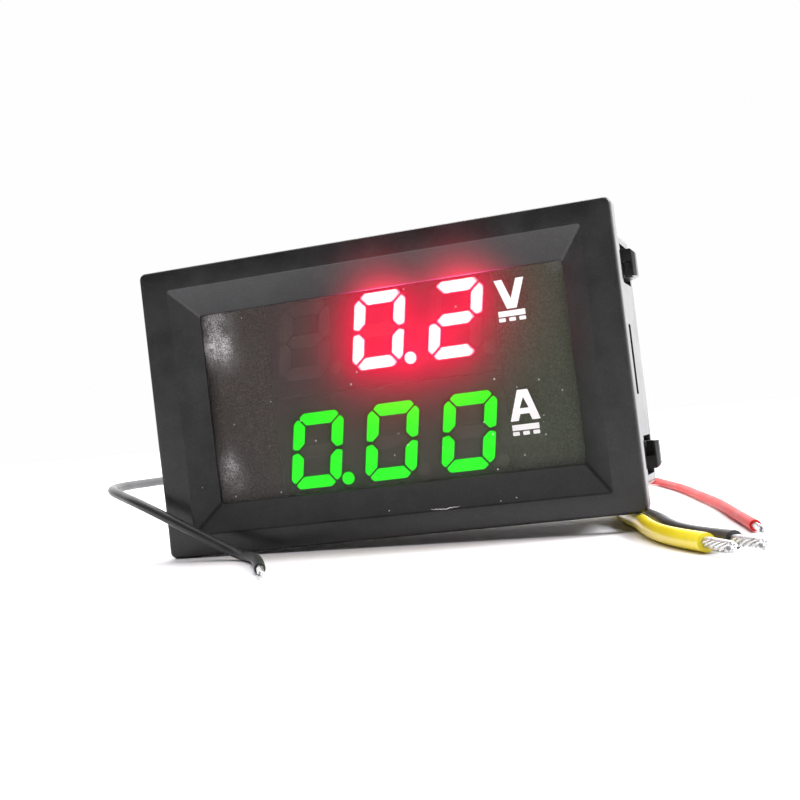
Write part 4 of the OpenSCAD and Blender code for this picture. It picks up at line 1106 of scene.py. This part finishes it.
def make_sheath(name, route, diameter, finish):
    """A round sheath along a smooth curve through its route."""
    curve = bpy.data.curves.new(name + "_sheath", "CURVE")
    curve.dimensions = "3D"
    curve.bevel_depth = diameter / 2 * MM
    curve.bevel_resolution = 5
    curve.resolution_u = 8
    curve.use_fill_caps = True
    spline = curve.splines.new("BEZIER")
    spline.bezier_points.add(len(route) - 1)
    for point, place in zip(spline.bezier_points, route):
        point.co = Vector(place) * MM
        point.handle_left_type = point.handle_right_type = "AUTO"
    curve.materials.append(bpy.data.materials[finish])
    sheath = placed(curve)
    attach(sheath, METER)
    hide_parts(name + "_lead")
    return sheath


def make_strands(name, route, diameter):
    """Six strands twisted round a seventh, out of a sheath's end. Along the way w, with the
    normals u and v, a strand is at end + t L w + 2 r (cos a u + sin a v)."""
    end, before = np.array(route[-1], float), np.array(route[-2], float)
    way = (end - before) / np.linalg.norm(end - before)
    across = np.cross(way, (0, 0, 1))
    across /= np.linalg.norm(across)
    up = np.cross(across, way)
    radius = CONDUCTOR_SHARE * diameter / 2 / 3
    t = np.linspace(-0.05, 1, 26)
    middle = end + way * (t * TIP_LENGTH)[:, None]
    parts = [swept(middle, radius, 8)]
    for k in range(6):
        a = 2 * np.pi * (k / 6 + STRAND_TURNS * t)
        round_it = np.cos(a)[:, None] * across + np.sin(a)[:, None] * up
        parts.append(swept(middle + 2 * radius * round_it, radius, 8))
    points, faces = merged(parts)
    tip = mesh_piece(name + "_strands", points, faces, "tinned", slot="tinned_metal", smooth=60)
    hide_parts(name + "_tip")
    return tip


def make_lead(name, route, diameter, finish):
    """A sheath and the bare strands at its end."""
    sheath = make_sheath(name, route, diameter, finish)
    tip = make_strands(name, route, diameter)


# ---------------------------------------------------------------- stage

# the room is bright behind the meter, overhead and a little to its right
BRIGHT_SIDE = (0.3, 1.0, 0.7)
BENCH_X_ENDS, BENCH_Y_ENDS = (-1500, 1500), (-900, 2500)


def make_bench():
    """A white bench that falls a little to the right, as the meter rests on it."""
    corners = [(x, y, BENCH_Z + BENCH_SLOPE * (x - BENCH_X))
               for x, y in rectangle(*BENCH_X_ENDS, *BENCH_Y_ENDS)]
    Finish("bench_white", (0.86, 0.85, 0.87), 0.7)
    bench = mesh_piece("bench", corners, [[0, 1, 2, 3]], "bench_white", body=None)


def make_room():
    """Light from all round, brightest towards BRIGHT_SIDE, in front of an even white."""
    world = bpy.data.worlds.new("room")
    bpy.context.scene.world = world
    world.use_nodes = True
    room = Nodes(world.node_tree)
    place = room.add("ShaderNodeTexCoord").outputs["Generated"]
    toward = room.add("ShaderNodeVectorMath", {0: place, 1: BRIGHT_SIDE},
                      operation="DOT_PRODUCT").outputs["Value"]
    brightness = room.add("ShaderNodeMapRange", {
        "Value": toward, "From Min": -0.22, "From Max": 0.85, "To Min": 0.07, "To Max": 2.4},
        interpolation_type="SMOOTHSTEP").outputs["Result"]
    seen = room.add("ShaderNodeLightPath").outputs["Is Camera Ray"]
    strength = room.add("ShaderNodeMix", {"Factor": seen, "A": brightness, "B": 1.0})
    background = world.node_tree.nodes["Background"].inputs
    room.put(background["Strength"], strength.outputs["Result"])
    room.put(background["Color"], (1.0, 0.99, 1.0))


def make_lamp(name, at, size, power):
    """A square lamp that is turned to the meter, in metres and watts."""
    light = bpy.data.lights.new(name, "AREA")
    light.size = size
    light.energy = power
    lamp = placed(light)
    lamp.location = at
    lamp.rotation_euler = (-Vector(at)).to_track_quat("-Z", "Y").to_euler()


def make_camera():
    """The camera, from its place and its three directions."""
    camera = bpy.data.cameras.new("camera")
    camera.lens = LENS
    camera.sensor_width = 36
    camera.clip_start = 0.005
    eye = placed(camera)
    axes = Matrix((CAMERA_RIGHT, CAMERA_UP, CAMERA_BACK)).transposed().to_4x4()
    eye.matrix_world = Matrix.Translation(Vector(CAMERA_AT) * MM) @ axes
    bpy.context.scene.camera = eye


def make_stage():
    """What is round the meter: bench, light and camera."""
    make_bench()
    make_room()
    make_lamp("overhead", (-0.05, 0.25, 0.6), 0.3, 2.6)
    make_lamp("window_side", (0.6, 0.18, 0.42), 0.25, 7.0)
    make_camera()
    bpy.context.scene.view_settings.view_transform = "Standard"


# ---------------------------------------------------------------- the meter

# node, finish, slot and rounding of the solids that are shown with softened edges
SOFTENED = [
    ("volts_display_case", "case_face", "display_grey", 0.04),
    ("amps_display_case", "case_face", "display_grey", 0.04),
    ("volts_segments_dark", "unlit_red", "segment_red_dark", 0),
    ("amps_segments_dark", "unlit_green", "segment_green_dark", 0),
    ("volts_display_pins", "solder", "tinned_metal", 0),
    ("amps_display_pins", "solder", "tinned_metal", 0),
    ("controller_chip", "chip_moulding", "chip_black", 0.06),
    ("amplifier_chip", "chip_moulding", "chip_black", 0.06),
    ("regulator_chip", "chip_moulding", "chip_black", 0.06),
    ("protection_diode", "chip_moulding", "chip_black", 0.08),
    ("controller_leads", "tinned", "tinned_metal", 0.02),
    ("amplifier_leads", "tinned", "tinned_metal", 0.03),
    ("regulator_leads", "tinned", "tinned_metal", 0.02),
    ("diode_leads", "tinned", "tinned_metal", 0.02),
    ("chip_resistors", "chip_moulding", "chip_black", 0.04),
    ("chip_capacitors", "tan_ceramic", "capacitor_tan", 0.08),
    ("chip_end_caps", "solder", "tinned_metal", 0.05),
    ("current_shunt", "shunt_metal", "shunt_wire", 0),
    ("volts_trimmer_base", "white_ceramic", "ceramic_white", 0.06),
    ("amps_trimmer_base", "white_ceramic", "ceramic_white", 0.06),
    ("supply_header", "nylon", "nylon_white", 0.08),
    ("supply_pins", "tinned", "tinned_metal", 0.06),
    ("supply_plug", "nylon", "nylon_white", 0.08),
    ("supply_contacts", "tinned", "tinned_metal", 0.04),
    ("current_header", "nylon", "nylon_white", 0.12),
    ("current_pins", "tinned", "tinned_metal", 0.08),
    ("current_plug", "nylon", "nylon_white", 0.1),
    ("current_contacts", "tinned", "tinned_metal", 0.05),
]


def make_solid_pieces():
    """The pieces that need no more than a finish and softened edges, by their nodes."""
    made = {}
    for node, finish, slot, rounding in SOFTENED:
        made[node] = softened(node, finish, rounding)
    for node in ("volts_trimmer_rotor", "amps_trimmer_rotor"):
        softened(node, "brass", 0.04, body=node.replace("_trimmer", ""))
    return made


def make_board():
    """The board, with bare laminate on every face that doesn't look forward or back."""
    board = softened("main_board", "board_mask", 0)
    board.data.materials.append(bpy.data.materials["laminate_edge"])
    facing = np.zeros(len(board.data.polygons) * 3)
    board.data.polygons.foreach_get("normal", facing)
    is_edge = np.abs(facing.reshape(-1, 3)[:, 1]) < 0.5
    board.data.polygons.foreach_set("material_index", is_edge.astype(int))


make_stage()
make_finishes()
made = make_solid_pieces()
make_board()
make_housing()
make_window()
make_unit_marks()
make_marks_of_use()
make_board_details()
make_lit_row("volts_lit", "volts_segments_lit",
             row_outlines(VOLTS_DIGITS, VOLTS_POINT, VOLTS_Z), "lit_red", "segment_red_lit")
make_lit_row("amps_lit", "amps_segments_lit",
             row_outlines(AMPS_DIGITS, AMPS_POINT, AMPS_Z), "lit_green", "segment_green_lit")
for name, (route, diameter, finish, slot) in LEADS.items():
    make_lead(name, route, diameter, finish)
